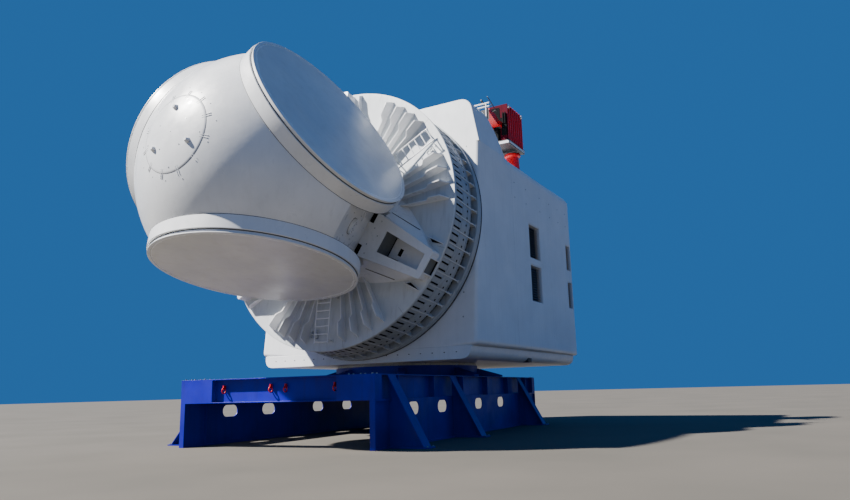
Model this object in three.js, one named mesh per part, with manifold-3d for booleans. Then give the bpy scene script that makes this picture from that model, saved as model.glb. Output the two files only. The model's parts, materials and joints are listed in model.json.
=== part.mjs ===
// Direct-drive wind turbine nacelle with its blade hub, resting on a blue steel transport stand.
// Millimetres, +Z up. +X points towards the nose of the hub, +Y is the left side of the nacelle.
import * as THREE from 'three';
import { mergeVertices } from 'three/addons/utils/BufferGeometryUtils.js';
import { ConvexGeometry } from 'three/addons/geometries/ConvexGeometry.js';
import Module from 'manifold-3d';

const wasm = await Module();
wasm.setup();

// Fits between pieces
const SEAT = 0.3; // gap between two pieces that are bolted together
const RUNNING = 0.4; // gap between the faces of a bearing
const WELD = 5; // how far welded plates run into each other

// Rotor: the dish, drum, hub and arms turn together about one axis that points a little upwards
const TILT = THREE.MathUtils.degToRad(6.66);
const CONE = THREE.MathUtils.degToRad(3.8); // blade axes lean forward from the rotor plane
const RIM_HEIGHT = 8190; // centre of the dish rim above the ground
const RIM_R = 5140;
const RIM_LAND = 290; // flat outer border of the dish
const DISH_DEPTH = 250; // how far the middle of the dish lies behind its rim
const DISH_THICKNESS = 90;
const FLANGE_R = 2170; // hub seat in the middle of the dish
const DRUM_DEPTH = 2144; // from the dish rim back to the running gap
const DRUM_CORE_R = 4900;
const DRUM_BAND = 340; // smooth band at the rear of the drum
const DRUM_BAND_R = 5165;
const RIB_COUNT = 60;
const RIB_THICKNESS = 45;
const RIB_R = 5110;
const DRUM_RIM = 60; // thin front rim of the drum
const RIB_ROOT = 60; // how far a rib is let into the drum
const AXLE_R = 1200; // fixed hollow axle that carries the rotor
const AXLE_BORE_R = 1201.5;
const AXLE_LENGTH = 1500;

// Hub
const HUB_AHEAD = 3683; // hub centre in front of the rim plane
const HUB_R = 4250;
const HUB_NOSE_R = 4200; // the hub is a little flatter along the rotor axis
const HUB_FOOT_R = 2150; // round foot on the dish
const HUB_FOOT_TOP = 300;
const HUB_FLAT = 3419; // flat above each torque arm, measured from the hub centre
const HUB_FLAT_LEAN = THREE.MathUtils.degToRad(27.9); // its normal leans back towards the dish
const BOSS_AHEAD = 960; // raised oblong boss on each flat, towards the nose from the flat's middle
const BOSS_HALF = 360;
const BOSS_RISE = 270;
const BOSS_HEIGHT = 65;
const PORT_FACE = 2600; // flat blade port, measured from the hub centre
const BLADE_ANGLES = [60, 180, 300];

// Blade bearing: a broad band, a groove and a narrow front lip around the sunk transport cover
const BEARING_R = 3340;
const BEARING_BAND = 430;
const BEARING_GROOVE_R = 3270;
const BEARING_LIP = 35;
const BEARING_LIP_R = 3305;
const BEARING_HEIGHT = 560;
const BEARING_CLEAR = 5; // between a bearing and the torque arms
const COVER_R = 3205;
const COVER_THICKNESS = 30;
const COVER_SINK = 8; // the cover lies this far behind the front of the bearing

// Nose hatch
const HATCH_R = 1230;
const HATCH_PROUD = 28;
const HATCH_SINK = 60;
const HATCH_LUG_R = 95;
const HATCH_LUG_TOP_R = 55;
const HATCH_LUG_RING = 800;
const HATCH_LUG_TOP = 60; // above the nose of the hub

// Torque arms between hub and dish
const ARM_ANGLES = [0, 120, 240];
const ARM_ROOT = 1750;
const ARM_TIP = 5030;
const ARM_ROOT_HALF = 950;
const ARM_TIP_HALF = 540;
const ARM_ROOT_TOP = 1260;
const ARM_TIP_TOP = 460;
const SKIRT_ROOT = 2200; // low flared base of the arm
const SKIRT_TIP = 4720;
const SKIRT_ROOT_HALF = 1880;
const SKIRT_TIP_HALF = 630;
const SKIRT_ROOT_TOP = 700;
const SKIRT_TIP_TOP = 280;
const POCKET_ROOT = 3220;
const POCKET_TIP = 4810;
const POCKET_ROOT_HALF = 400;
const POCKET_TIP_HALF = 300;
const POCKET_FLOOR = 180; // in front of the rim plane
const NOTCH_INNER = 430; // notches beside the tongue that reaches the hub
const NOTCH_OUTER = 1200;
const NOTCH_END = 2660;
const NOTCH_DEPTH = 600;

// Fins beside each ladder, and the ladders
const FIN_OFFSETS = [10.2, 17, 23.8, 30.5];
const FIN_THICKNESS = 40;
const FIN_INNER = 2780;
const FIN_OUTER = 4930;
const FIN_STEP_FROM = 4060;
const FIN_STEP_TO = 4300;
const FIN_SHOULDER = 4740;
const FIN_LOW = 220;
const FIN_TALL = 420;
const FIN_ROOT = 20; // how far a fin is let into the dish
const LADDER_HALF = 300;
const LADDER_FROM = 3060;
const LADDER_TO = 4900;
const LADDER_TUBE = 42;
const LADDER_STANDOFF = 260;
const LADDER_FOOT = 120; // from each end of the ladder to its feet
const RUNG_COUNT = 7;
const RUNG_INSET = 60;
const RUNG_TUBE = 34;

// Nacelle housing
const FACE_BACK = 2170; // leaning front face, behind the rim plane along the rotor axis
const HALF_WIDTH = 5000;
const REAR_X = -13400;
const WALL_BOTTOM = 3160;
const WALL_EDGE_R = 200;
const ROOF = 11200;
const ROOF_EDGE_R = 500;
const REAR_TOP_R = 1000;
const REAR_CORNER_R = 450;
const BELLY_BOTTOM = 2690;
const BELLY_HALF = 4780;
const BELLY_EDGE_R = 430;
const BELLY_INSET_REAR = 250;
const HUMP_SPLIT = 11050;
const HUMP_TOP = 13000;
const HUMP_TOP_HALF = 4560;
const HUMP_EDGE_R = 500;
const HUMP_CREST_X = -3850;
const HUMP_CREST_R = 600;
const HUMP_SHOULDER_X = -4700;
const HUMP_SHOULDER_Z = 12050;
const HUMP_SHOULDER_R = 500;
const HUMP_FOOT_X = -4950;

// Louvred side openings: front edge, rear edge, lower edge, upper edge
const LOUVRES = [
  [-7360, -8700, 7160, 8740],
  [-7360, -8700, 5250, 6920],
  [-12330, -13030, 7280, 8620],
  [-12330, -13030, 5390, 6760],
];
const LOUVRE_RECESS = 260;
const LOUVRE_BACK = 60; // thickness of the plate behind the slats
const SLAT_PITCH = 190;
const SLAT_THICKNESS = 26;
const SLAT_DROP = 90; // from the inner edge down to the outer edge
const SLAT_INSET = 40; // the outer edge lies this far inside the wall

// Guard rail on the rear shoulder of the hump
const RAIL_X = -4330;
const RAIL_HALF = 4700;
const RAIL_TOP = 13320;
const RAIL_MID = 13170;
const RAIL_TUBE = 60;
const RAIL_POSTS = 7;
const RAIL_OVERHANG = 150; // beyond the outer posts

// Service crane on the roof
const CRANE_X = -9150;
const CRANE_Y = 3700;
const CRANE_COLUMN_R = 290;
const CRANE_BASE_R = 520;
const CRANE_BASE_THICKNESS = 80;
const CRANE_CONE_TOP = 420; // the column widens below this height above the roof
const CRANE_CONE_R = 330;
const CRANE_HEAD_R = 380;
const CRANE_HEAD_HEIGHT = 100;
const CRANE_HEAD_TAPER = 60;
const CRANE_DECK = 12600;
const CRANE_DECK_THICKNESS = 190;
const DECK_BACK = 480; // behind the column axis, and clear of it on the other side
const DECK_EDGE = 60;
const CRANE_HOUSE_FRONT = 1600; // ahead of the column axis
const CRANE_HOUSE_BACK = -180;
const CRANE_HOUSE_HALF = 500;
const CRANE_HOUSE_HEIGHT = 1780;
const BOOM_PIVOT_AHEAD = 1820;
const BOOM_PIVOT_Z = 13560;
const BOOM_PIN = 90;
const BOOM_EYE_R = 110;
const BOOM_HALF = 150;
const CHEEK_OFFSET = 220; // bracket plates on each side of the boom
const CHEEK_HALF = 20;
const CHEEK_REACH = 110; // beyond the pivot
const CHEEK_RISE = 120;
const HOUSE_RIBS = 8;
const HOUSE_RIB_WIDTH = 50;
const HOUSE_RIB_DEPTH = 40;
const BOOM_RISE = THREE.MathUtils.degToRad(20);
const BOOM_LENGTH = 1000;
const BOOM_KNEE = [450, -130, 210]; // deepest section: ahead of the pivot, underside, top
const BOOM_END = [-60, 130];
const BOOM_END_HALF = 90;
const BOOM_TIP_LENGTH = 700;
const BOOM_TIP_HALF = 35;
const BOOM_TIP_ROOT = [-30, 90];
const BOOM_TIP_END = [20, 80];

// Stand: its centre line is turned a few degrees against the nacelle about the yaw axis
const YAW_X = -5100;
const STAND_TURN = THREE.MathUtils.degToRad(4.8);
const STAND_FRONT = 9370; // ahead of the yaw axis
const STAND_REAR = -6830;
const STAND_HALF = 3600;
const STAND_TOP = 2130;
const BEAM_DEPTH = 750;
const BEAM_WIDTH = 420;
const FLANGE = 30;
const WEB = 30;
const END_BLOCK = 1280;
const COLUMN_WIDTH = 180;
const COLUMN_DEPTH = 1050; // along the stand
const BRACE_REACH = 1150;
const BRACE_PLATE = 120; // base plate beyond the foot of the brace
const BRACE_FLANGE = 480;
const BRACE_STEPS = [1035, 5750, 13600]; // behind the front edge
const FOOT_THICKNESS = 40;
const LEFT_HOLES = [2520, 4790, 8340, 10970]; // behind the front edge
const RIGHT_HOLES = [2390, 4590, 7980, 10350];
const HOLE_Z = 1090;
const HOLE_HALF = 390;
const HOLE_RISE = 200;
const GIRDER_STEPS = [6600, 9370, 12140]; // cross girders under the pedestal
const GIRDER_SPREAD = 1500;
const STIFFENER_STEPS = [1500, 4140, 6780, 9420, 12060, 14700];
const WALL_FOOT = 300;
const PEDESTAL_R = 3000;
const PEDESTAL_WALL = 220;
const PEDESTAL_TOP = 2590;
const BRACKET_REACH = 4050;
const BRACKET_COUNT = 8;
const BRACKET_HALF = 140;
const BRACKET_EDGE = 60; // height of the outer edge
const YAW_RING_R = 2950;
const YAW_RING_BORE = 2500;
const SHACKLE_PLACES = [-1940, -120, 430, 2190]; // along the front beam, + towards the left side
const SHACKLE_Z = 1810;
const SHACKLE_BOW_R = 85;
const SHACKLE_BAR_R = 20;
const SHACKLE_LUG = 110;

const PAINT = 0xdfe2e4;

function material(color, roughness, metalness) {
  return new THREE.MeshStandardMaterial({ color, roughness, metalness });
}

// A closed three.js geometry as a solid that can be joined and cut
function solid(geometry) {
  const bare = geometry.clone();
  bare.deleteAttribute('normal');
  bare.deleteAttribute('uv');
  const merged = mergeVertices(bare, 0.01);
  const positions = merged.getAttribute('position').array;
  const source = merged.index.array;
  const corner = (i) => new THREE.Vector3(positions[3 * i], positions[3 * i + 1], positions[3 * i + 2]);
  const triangles = [];
  let volume = 0;
  for (let i = 0; i < source.length; i += 3) {
    const [a, b, c] = [source[i], source[i + 1], source[i + 2]];
    if (a !== b && b !== c && c !== a) {
      triangles.push(a, b, c);
      volume += corner(a).dot(corner(b).cross(corner(c)));
    }
  }
  if (volume < 0) {
    triangles.reverse();
  }
  const mesh = new wasm.Mesh({
    numProp: 3,
    vertProperties: new Float32Array(positions),
    triVerts: new Uint32Array(triangles),
  });
  return new wasm.Manifold(mesh);
}

// Back from a solid to a three.js geometry
function geometryOf(body) {
  const mesh = body.getMesh();
  const geometry = new THREE.BufferGeometry();
  geometry.setAttribute('position', new THREE.BufferAttribute(mesh.vertProperties, 3));
  geometry.setIndex(new THREE.BufferAttribute(mesh.triVerts, 1));
  geometry.computeVertexNormals();
  return geometry;
}

function joined(bodies) {
  return bodies.reduce((all, next) => all.add(next));
}

function placed(body, matrix) {
  return body.transform(matrix.elements);
}

function turnX(body, degrees) {
  return placed(body, new THREE.Matrix4().makeRotationX(THREE.MathUtils.degToRad(degrees)));
}

function move(body, x, y, z) {
  return placed(body, new THREE.Matrix4().makeTranslation(x, y, z));
}

function block(x0, x1, y0, y1, z0, z1) {
  const geometry = new THREE.BoxGeometry(Math.abs(x1 - x0), Math.abs(y1 - y0), Math.abs(z1 - z0));
  geometry.translate((x0 + x1) / 2, (y0 + y1) / 2, (z0 + z1) / 2);
  return solid(geometry);
}

function hull(points) {
  return solid(new ConvexGeometry(points.map((p) => new THREE.Vector3(...p))));
}

function extruded(shape, depth) {
  return new THREE.ExtrudeGeometry(shape, { depth, bevelEnabled: false, curveSegments: 6 });
}

// Outline in the Y-Z plane, drawn out along X
function prismX(shape, x0, x1) {
  const geometry = extruded(shape, Math.abs(x1 - x0));
  const turn = new THREE.Matrix4().set(
    0, 0, 1, Math.min(x0, x1),
    1, 0, 0, 0,
    0, 1, 0, 0,
    0, 0, 0, 1,
  );
  return solid(geometry.applyMatrix4(turn));
}

// Outline in the X-Z plane, drawn out along Y
function prismY(shape, y0, y1) {
  const geometry = extruded(shape, Math.abs(y1 - y0));
  const turn = new THREE.Matrix4().set(
    1, 0, 0, 0,
    0, 0, 1, Math.min(y0, y1),
    0, 1, 0, 0,
    0, 0, 0, 1,
  );
  return solid(geometry.applyMatrix4(turn));
}

// Outline in the X-Y plane, drawn out along Z
function prismZ(shape, z0, z1) {
  const geometry = extruded(shape, Math.abs(z1 - z0));
  geometry.translate(0, 0, Math.min(z0, z1));
  return solid(geometry);
}

// Polygon whose corners may be rounded: each point is [u, v] or [u, v, radius]
function outline(points) {
  const shape = new THREE.Shape();
  const count = points.length;
  points.forEach(([u, v, radius = 0], i) => {
    const here = new THREE.Vector2(u, v);
    const before = new THREE.Vector2(...points[(i + count - 1) % count]);
    const after = new THREE.Vector2(...points[(i + 1) % count]);
    const back = before.sub(here).normalize().multiplyScalar(radius).add(here);
    const on = after.sub(here).normalize().multiplyScalar(radius).add(here);
    if (i === 0) {
      shape.moveTo(back.x, back.y);
    } else {
      shape.lineTo(back.x, back.y);
    }
    if (radius > 0) {
      shape.quadraticCurveTo(here.x, here.y, on.x, on.y);
    }
  });
  shape.closePath();
  return shape;
}

// Profile of [radius, axial] points turned about the X axis
function turned(profile, segments) {
  const geometry = new THREE.LatheGeometry(profile.map(([r, a]) => new THREE.Vector2(r, a)), segments);
  geometry.rotateZ(-Math.PI / 2);
  return solid(geometry);
}

// Round bar or ring about the X axis
function ring(outer, inner, a0, a1, segments) {
  if (inner === 0) {
    return turned([[0, a0], [outer, a0], [outer, a1], [0, a1]], segments);
  }
  return turned([[inner, a0], [outer, a0], [outer, a1], [inner, a1], [inner, a0]], segments);
}

function upright(body) {
  return placed(body, new THREE.Matrix4().makeRotationY(-Math.PI / 2));
}

// Oblong with round ends about a point: half its length and half its width
function oblong(u, v, half, rise) {
  const shape = new THREE.Shape();
  const straight = half - rise;
  shape.absarc(u + straight, v, rise, -Math.PI / 2, Math.PI / 2);
  shape.absarc(u - straight, v, rise, Math.PI / 2, (3 * Math.PI) / 2);
  shape.closePath();
  return shape;
}

// A bar of round section between two points
function bar(from, to, diameter, sides) {
  const start = new THREE.Vector3(...from);
  const end = new THREE.Vector3(...to);
  const way = end.clone().sub(start);
  const geometry = new THREE.CylinderGeometry(diameter / 2, diameter / 2, way.length(), sides);
  const turn = new THREE.Quaternion().setFromUnitVectors(new THREE.Vector3(0, 1, 0), way.clone().normalize());
  const middle = start.add(end).multiplyScalar(0.5);
  geometry.applyMatrix4(new THREE.Matrix4().compose(middle, turn, new THREE.Vector3(1, 1, 1)));
  return solid(geometry);
}

const paint = {
  white: () => material(PAINT, 0.45, 0.1),
  cover: () => material(0xd3d1d4, 0.6, 0),
  louvre: () => material(0x6f7780, 0.6, 0.2),
  blue: () => material(0x1426a6, 0.45, 0.1),
  red: () => material(0xc4161f, 0.45, 0.1),
  steel: () => material(0x8b9096, 0.5, 0.6),
  dark: () => material(0x23262b, 0.6, 0.3),
};

function piece(group, name, body, finish) {
  const mesh = new THREE.Mesh(geometryOf(body), paint[finish]());
  mesh.name = name;
  group.add(mesh);
}

// Rotor frame: X along the rotor axis, origin at the centre of the dish rim, Z up the first arm.
// Height of the dish surface at a radius, negative behind the rim plane.
function dishLevel(radius) {
  const slope = DISH_DEPTH / (RIM_R - RIM_LAND - FLANGE_R);
  return -Math.min(DISH_DEPTH, Math.max(0, (RIM_R - RIM_LAND - radius) * slope));
}

// Fin seen from the side: low near the hub, a curved step up, and a sloping outer end
function finShape() {
  const shape = new THREE.Shape();
  shape.moveTo(dishLevel(FIN_INNER) - FIN_ROOT, FIN_INNER);
  shape.lineTo(dishLevel(FIN_INNER) + FIN_LOW, FIN_INNER);
  shape.lineTo(dishLevel(FIN_STEP_FROM) + FIN_LOW, FIN_STEP_FROM);
  const mid = (FIN_STEP_FROM + FIN_STEP_TO) / 2;
  shape.bezierCurveTo(
    dishLevel(mid) + FIN_LOW, mid,
    dishLevel(mid) + FIN_TALL, mid,
    dishLevel(FIN_STEP_TO) + FIN_TALL, FIN_STEP_TO,
  );
  shape.lineTo(FIN_TALL, FIN_SHOULDER);
  shape.lineTo(0, FIN_OUTER);
  shape.lineTo(-FIN_ROOT, FIN_OUTER);
  shape.closePath();
  return shape;
}

function fin(angle) {
  return turnX(prismY(finShape(), -FIN_THICKNESS / 2, FIN_THICKNESS / 2), -angle);
}

// Solid that fills everything behind the dish surface
function behindDish() {
  return turned([
    [0, -DISH_DEPTH], [FLANGE_R, -DISH_DEPTH], [RIM_R - RIM_LAND, 0], [RIM_R + 100, 0],
    [RIM_R + 100, -RIM_R], [0, -RIM_R],
  ], 96);
}

function dish() {
  const back = DISH_DEPTH + DISH_THICKNESS;
  const plate = turned([
    [0, -DISH_DEPTH], [FLANGE_R, -DISH_DEPTH], [RIM_R - RIM_LAND, 0], [RIM_R, 0],
    [RIM_R, -DISH_THICKNESS], [RIM_R - RIM_LAND, -DISH_THICKNESS], [FLANGE_R, -back], [0, -back],
  ], 96);
  let fins = joined(BLADE_ANGLES.flatMap((blade) => (
    FIN_OFFSETS.flatMap((offset) => [fin(blade + offset), fin(blade - offset)])
  )));
  for (const angle of ARM_ANGLES) {
    fins = fins.subtract(turnX(armBlank(2 * SEAT), -angle));
  }
  return plate.add(fins);
}

function drum() {
  const front = -DISH_THICKNESS - SEAT;
  const back = -DRUM_DEPTH;
  const floor = -DISH_DEPTH - DISH_THICKNESS - SEAT;
  const core = turned([
    [0, floor], [FLANGE_R, floor], [RIM_R - RIM_LAND, front], [RIM_R, front], [RIM_R, front - DRUM_RIM],
    [DRUM_CORE_R, front - DRUM_RIM], [DRUM_CORE_R, back + DRUM_BAND], [DRUM_BAND_R, back + DRUM_BAND],
    [DRUM_BAND_R, back], [AXLE_BORE_R, back], [AXLE_BORE_R, back + AXLE_LENGTH],
    [0, back + AXLE_LENGTH],
  ], RIB_COUNT * 2);
  const ribs = [];
  for (let i = 0; i < RIB_COUNT; i += 1) {
    const half = RIB_THICKNESS / 2;
    const rib = block(back + DRUM_BAND - WELD, front - DRUM_RIM + WELD, -half, half,
      DRUM_CORE_R - RIB_ROOT, RIB_R);
    ribs.push(turnX(rib, i * (360 / RIB_COUNT)));
  }
  return joined([core, ...ribs]);
}

// Frame of one blade: X along the blade axis, origin at the hub centre
function bladeMatrix(angle) {
  const matrix = new THREE.Matrix4().makeTranslation(HUB_AHEAD, 0, 0);
  matrix.multiply(new THREE.Matrix4().makeRotationX(THREE.MathUtils.degToRad(-angle)));
  return matrix.multiply(new THREE.Matrix4().makeRotationY(-Math.PI / 2 + CONE));
}

function hubBall(extra) {
  const geometry = new THREE.SphereGeometry(1, 56, 36);
  geometry.rotateZ(Math.PI / 2);
  geometry.scale(HUB_NOSE_R + extra, HUB_R + extra, HUB_R + extra);
  geometry.translate(HUB_AHEAD, 0, 0);
  return solid(geometry);
}

// From the frame of a flat, whose Z is the flat's normal, to the frame of its arm
function flatMatrix() {
  const lean = new THREE.Matrix4().makeTranslation(HUB_AHEAD, 0, 0);
  return lean.multiply(new THREE.Matrix4().makeRotationY(-HUB_FLAT_LEAN));
}

// Ball and foot of the hub, cut back to a leaning flat above each torque arm
function hubBody(extra) {
  const wide = 2 * HUB_R;
  let ball = hubBall(extra);
  for (const angle of ARM_ANGLES) {
    const beyond = block(-wide, wide, -wide, wide, HUB_FLAT + extra, 2 * wide);
    ball = ball.subtract(turnX(placed(beyond, flatMatrix()), -angle));
  }
  return ball.add(ring(HUB_FOOT_R + extra, 0, -DISH_DEPTH, HUB_FOOT_TOP + extra, 72));
}

function hubCasting() {
  const wide = 2 * HUB_R;
  let body = hubBody(0).subtract(block(-wide, -DISH_DEPTH + SEAT, -wide, wide, -wide, wide));
  for (const angle of BLADE_ANGLES) {
    const beyond = block(PORT_FACE, wide, -wide, wide, -wide, wide);
    body = body.subtract(placed(beyond, bladeMatrix(angle)));
  }
  const hatchSeat = ring(HATCH_R + SEAT, 0, HUB_AHEAD + HUB_NOSE_R - hatchDrop() - HATCH_SINK, 2 * wide, 48);
  return joined([body.subtract(hatchSeat), ...ARM_ANGLES.map(flatBoss)]);
}

function flatBoss(angle) {
  const shape = oblong(BOSS_AHEAD, 0, BOSS_HALF, BOSS_RISE);
  return turnX(placed(prismZ(shape, HUB_FLAT - WELD, HUB_FLAT + BOSS_HEIGHT), flatMatrix()), -angle);
}

// How far the hub surface falls back between the nose and the edge of the hatch
function hatchDrop() {
  return HUB_NOSE_R * (1 - Math.sqrt(1 - (HATCH_R / HUB_R) ** 2));
}

function noseHatch() {
  const bottom = HUB_AHEAD + HUB_NOSE_R - hatchDrop() - HATCH_SINK + SEAT;
  const disc = ring(HATCH_R, 0, bottom, HUB_AHEAD + 2 * HUB_R, 48);
  const parts = [disc.intersect(hubBall(HATCH_PROUD))];
  const top = HUB_AHEAD + HUB_NOSE_R + HATCH_LUG_TOP;
  const lug = turned([[0, bottom], [HATCH_LUG_R, bottom], [HATCH_LUG_TOP_R, top], [0, top]], 16);
  for (const angle of BLADE_ANGLES) {
    parts.push(turnX(move(lug, 0, 0, HATCH_LUG_RING), 180 - angle));
  }
  return joined(parts);
}

function coverBack() {
  return PORT_FACE + BEARING_HEIGHT - COVER_SINK - COVER_THICKNESS;
}

function bladeBearing(angle) {
  const front = PORT_FACE + BEARING_HEIGHT;
  const seat = COVER_R + SEAT;
  const body = turned([
    [0, PORT_FACE + SEAT], [BEARING_R, PORT_FACE + SEAT], [BEARING_R, PORT_FACE + BEARING_BAND],
    [BEARING_GROOVE_R, PORT_FACE + BEARING_BAND], [BEARING_GROOVE_R, front - BEARING_LIP],
    [BEARING_LIP_R, front - BEARING_LIP], [BEARING_LIP_R, front], [seat, front],
    [seat, coverBack() - SEAT], [0, coverBack() - SEAT],
  ], 72);
  return placed(body, bladeMatrix(angle));
}

function bladeCover(angle) {
  const back = coverBack();
  return placed(ring(COVER_R, 0, back, back + COVER_THICKNESS, 72), bladeMatrix(angle));
}

// Value that runs evenly along an arm from its root to its tip
function along(r, root, tip) {
  return root + ((r - ARM_ROOT) / (ARM_TIP - ARM_ROOT)) * (tip - root);
}

// The two corners at one radius and height, in the frame of one arm: Z outwards from the rotor axis
function corners(r, half, a) {
  return [[a, -half, r], [a, half, r]];
}

// The blank still runs into the dish and the hub
function armBlank(grown) {
  const low = -DISH_DEPTH - DISH_THICKNESS;
  const tip = ARM_TIP + grown;
  const beam = hull([
    ...corners(ARM_ROOT, ARM_ROOT_HALF + grown, low), ...corners(tip, ARM_TIP_HALF + grown, low),
    ...corners(ARM_ROOT, ARM_ROOT_HALF + grown, ARM_ROOT_TOP + grown),
    ...corners(tip, ARM_TIP_HALF + grown, ARM_TIP_TOP + grown),
  ]);
  const end = SKIRT_TIP + grown;
  const skirt = hull([
    ...corners(SKIRT_ROOT, SKIRT_ROOT_HALF + grown, low), ...corners(end, SKIRT_TIP_HALF + grown, low),
    ...corners(SKIRT_ROOT, ARM_ROOT_HALF + grown, SKIRT_ROOT_TOP + grown),
    ...corners(end, ARM_TIP_HALF + grown, SKIRT_TIP_TOP + grown),
  ]);
  return beam.add(skirt);
}

function armTop(r) {
  return along(r, ARM_ROOT_TOP, ARM_TIP_TOP);
}

function armPocket() {
  const above = 200;
  const end = (r, half) => [
    ...corners(r, half, POCKET_FLOOR), ...corners(r, half, armTop(r) + above),
  ];
  return hull([...end(POCKET_ROOT, POCKET_ROOT_HALF), ...end(POCKET_TIP, POCKET_TIP_HALF)]);
}

function armNotches() {
  const floor = armTop(NOTCH_END) - NOTCH_DEPTH;
  const notch = (side) => block(floor, 2 * HUB_R, side * NOTCH_INNER, side * NOTCH_OUTER, 0, NOTCH_END);
  return notch(1).add(notch(-1));
}

function torqueArm(angle, dishCutter, hubCutter) {
  const whole = turnX(armBlank(0).subtract(armPocket()).subtract(armNotches()), -angle);
  return whole.subtract(dishCutter).subtract(hubCutter);
}

function ladder(angle, dishCutter) {
  const parts = [];
  const level = LADDER_STANDOFF;
  for (const side of [-LADDER_HALF, LADDER_HALF]) {
    parts.push(bar([level, side, LADDER_FROM], [level, side, LADDER_TO], LADDER_TUBE, 6));
    for (const r of [LADDER_FROM + LADDER_FOOT, LADDER_TO - LADDER_FOOT]) {
      parts.push(bar([dishLevel(r) - LADDER_TUBE, side, r], [level, side, r], LADDER_TUBE, 6));
    }
  }
  for (let i = 0; i < RUNG_COUNT; i += 1) {
    const r = THREE.MathUtils.lerp(LADDER_FROM + RUNG_INSET, LADDER_TO - RUNG_INSET, i / (RUNG_COUNT - 1));
    parts.push(bar([level, -LADDER_HALF, r], [level, LADDER_HALF, r], RUNG_TUBE, 6));
  }
  return turnX(joined(parts), -angle).subtract(dishCutter);
}

function buildRotor() {
  const group = new THREE.Group();
  group.position.set(0, 0, RIM_HEIGHT);
  group.rotation.y = -TILT;
  piece(group, 'rotor_dish', dish(), 'white');
  piece(group, 'generator_drum', drum(), 'white');
  piece(group, 'hub_casting', hubCasting(), 'white');
  piece(group, 'nose_hatch', noseHatch(), 'white');
  const dishCutter = move(behindDish(), SEAT, 0, 0);
  BLADE_ANGLES.forEach((angle, i) => {
    piece(group, `blade_bearing_${i + 1}`, bladeBearing(angle), 'white');
    piece(group, `blade_cover_${i + 1}`, bladeCover(angle), 'cover');
    piece(group, `dish_ladder_${i + 1}`, ladder(angle, dishCutter), 'white');
  });
  const port = ring(BEARING_R + BEARING_CLEAR, 0, 0, HUB_R, 72);
  const hubCutter = joined([hubBody(SEAT), ...BLADE_ANGLES.map((angle) => placed(port, bladeMatrix(angle)))]);
  ARM_ANGLES.forEach((angle, i) => {
    piece(group, `torque_arm_${i + 1}`, torqueArm(angle, dishCutter, hubCutter), 'white');
  });
  return group;
}

// Everything of the nacelle lies behind its leaning front face
function behindFace(body) {
  const far = 40000;
  const keep = block(-far, -FACE_BACK, -far, far, -far, far);
  const lean = new THREE.Matrix4().makeTranslation(0, 0, RIM_HEIGHT);
  lean.multiply(new THREE.Matrix4().makeRotationY(-TILT));
  return body.intersect(placed(keep, lean));
}

function louvreHole([front, rear, low, high], side) {
  const y = side * HALF_WIDTH;
  return block(rear, front, y - side * LOUVRE_RECESS, y + side * 100, low, high);
}

function nacelleHousing() {
  const front = 0;
  const wall = outline([
    [-HALF_WIDTH, WALL_BOTTOM, WALL_EDGE_R], [HALF_WIDTH, WALL_BOTTOM, WALL_EDGE_R],
    [HALF_WIDTH, ROOF, ROOF_EDGE_R], [-HALF_WIDTH, ROOF, ROOF_EDGE_R],
  ]);
  const squareTop = outline([
    [-HALF_WIDTH, WALL_BOTTOM, WALL_EDGE_R], [HALF_WIDTH, WALL_BOTTOM, WALL_EDGE_R],
    [HALF_WIDTH, HUMP_SPLIT], [-HALF_WIDTH, HUMP_SPLIT],
  ]);
  const side = outline([
    [front, WALL_BOTTOM - 100], [front, ROOF + 100], [REAR_X + 3000, ROOF + 100], [REAR_X + 3000, ROOF],
    [REAR_X, ROOF, REAR_TOP_R], [REAR_X, WALL_BOTTOM - 100],
  ]);
  const plan = outline([
    [front, -HALF_WIDTH - 100], [front, HALF_WIDTH + 100], [REAR_X + 3000, HALF_WIDTH + 100],
    [REAR_X + 3000, HALF_WIDTH], [REAR_X, HALF_WIDTH, REAR_CORNER_R], [REAR_X, -HALF_WIDTH, REAR_CORNER_R],
    [REAR_X + 3000, -HALF_WIDTH], [REAR_X + 3000, -HALF_WIDTH - 100],
  ]);
  let body = prismX(wall, REAR_X - 100, HUMP_FOOT_X);
  body = body.add(prismX(squareTop, HUMP_FOOT_X - 1, front));
  body = body.intersect(prismY(side, -HALF_WIDTH - 200, HALF_WIDTH + 200));
  body = body.intersect(prismZ(plan, WALL_BOTTOM - 200, ROOF + 200));
  for (const hole of LOUVRES) {
    body = body.subtract(louvreHole(hole, 1)).subtract(louvreHole(hole, -1));
  }
  return behindFace(body);
}

function nacelleHump() {
  const base = HUMP_SPLIT + SEAT;
  const across = outline([
    [-HALF_WIDTH, base], [HALF_WIDTH, base], [HUMP_TOP_HALF, HUMP_TOP, HUMP_EDGE_R],
    [-HUMP_TOP_HALF, HUMP_TOP, HUMP_EDGE_R],
  ]);
  const lengthwise = outline([
    [0, base - 10], [0, HUMP_TOP + 10], [HUMP_CREST_X + 1200, HUMP_TOP + 10],
    [HUMP_CREST_X + 1200, HUMP_TOP], [HUMP_CREST_X, HUMP_TOP, HUMP_CREST_R],
    [HUMP_SHOULDER_X, HUMP_SHOULDER_Z, HUMP_SHOULDER_R],
    [HUMP_FOOT_X + SEAT, ROOF], [HUMP_FOOT_X + SEAT, base - 10],
  ]);
  const crosswise = prismX(across, HUMP_FOOT_X - 100, 0);
  return behindFace(crosswise.intersect(prismY(lengthwise, -HALF_WIDTH - 10, HALF_WIDTH + 10)));
}

function nacelleBelly() {
  const across = outline([
    [-BELLY_HALF, BELLY_BOTTOM, BELLY_EDGE_R], [BELLY_HALF, BELLY_BOTTOM, BELLY_EDGE_R],
    [BELLY_HALF, WALL_BOTTOM - SEAT], [-BELLY_HALF, WALL_BOTTOM - SEAT],
  ]);
  return behindFace(prismX(across, REAR_X + BELLY_INSET_REAR, 0));
}

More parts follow.
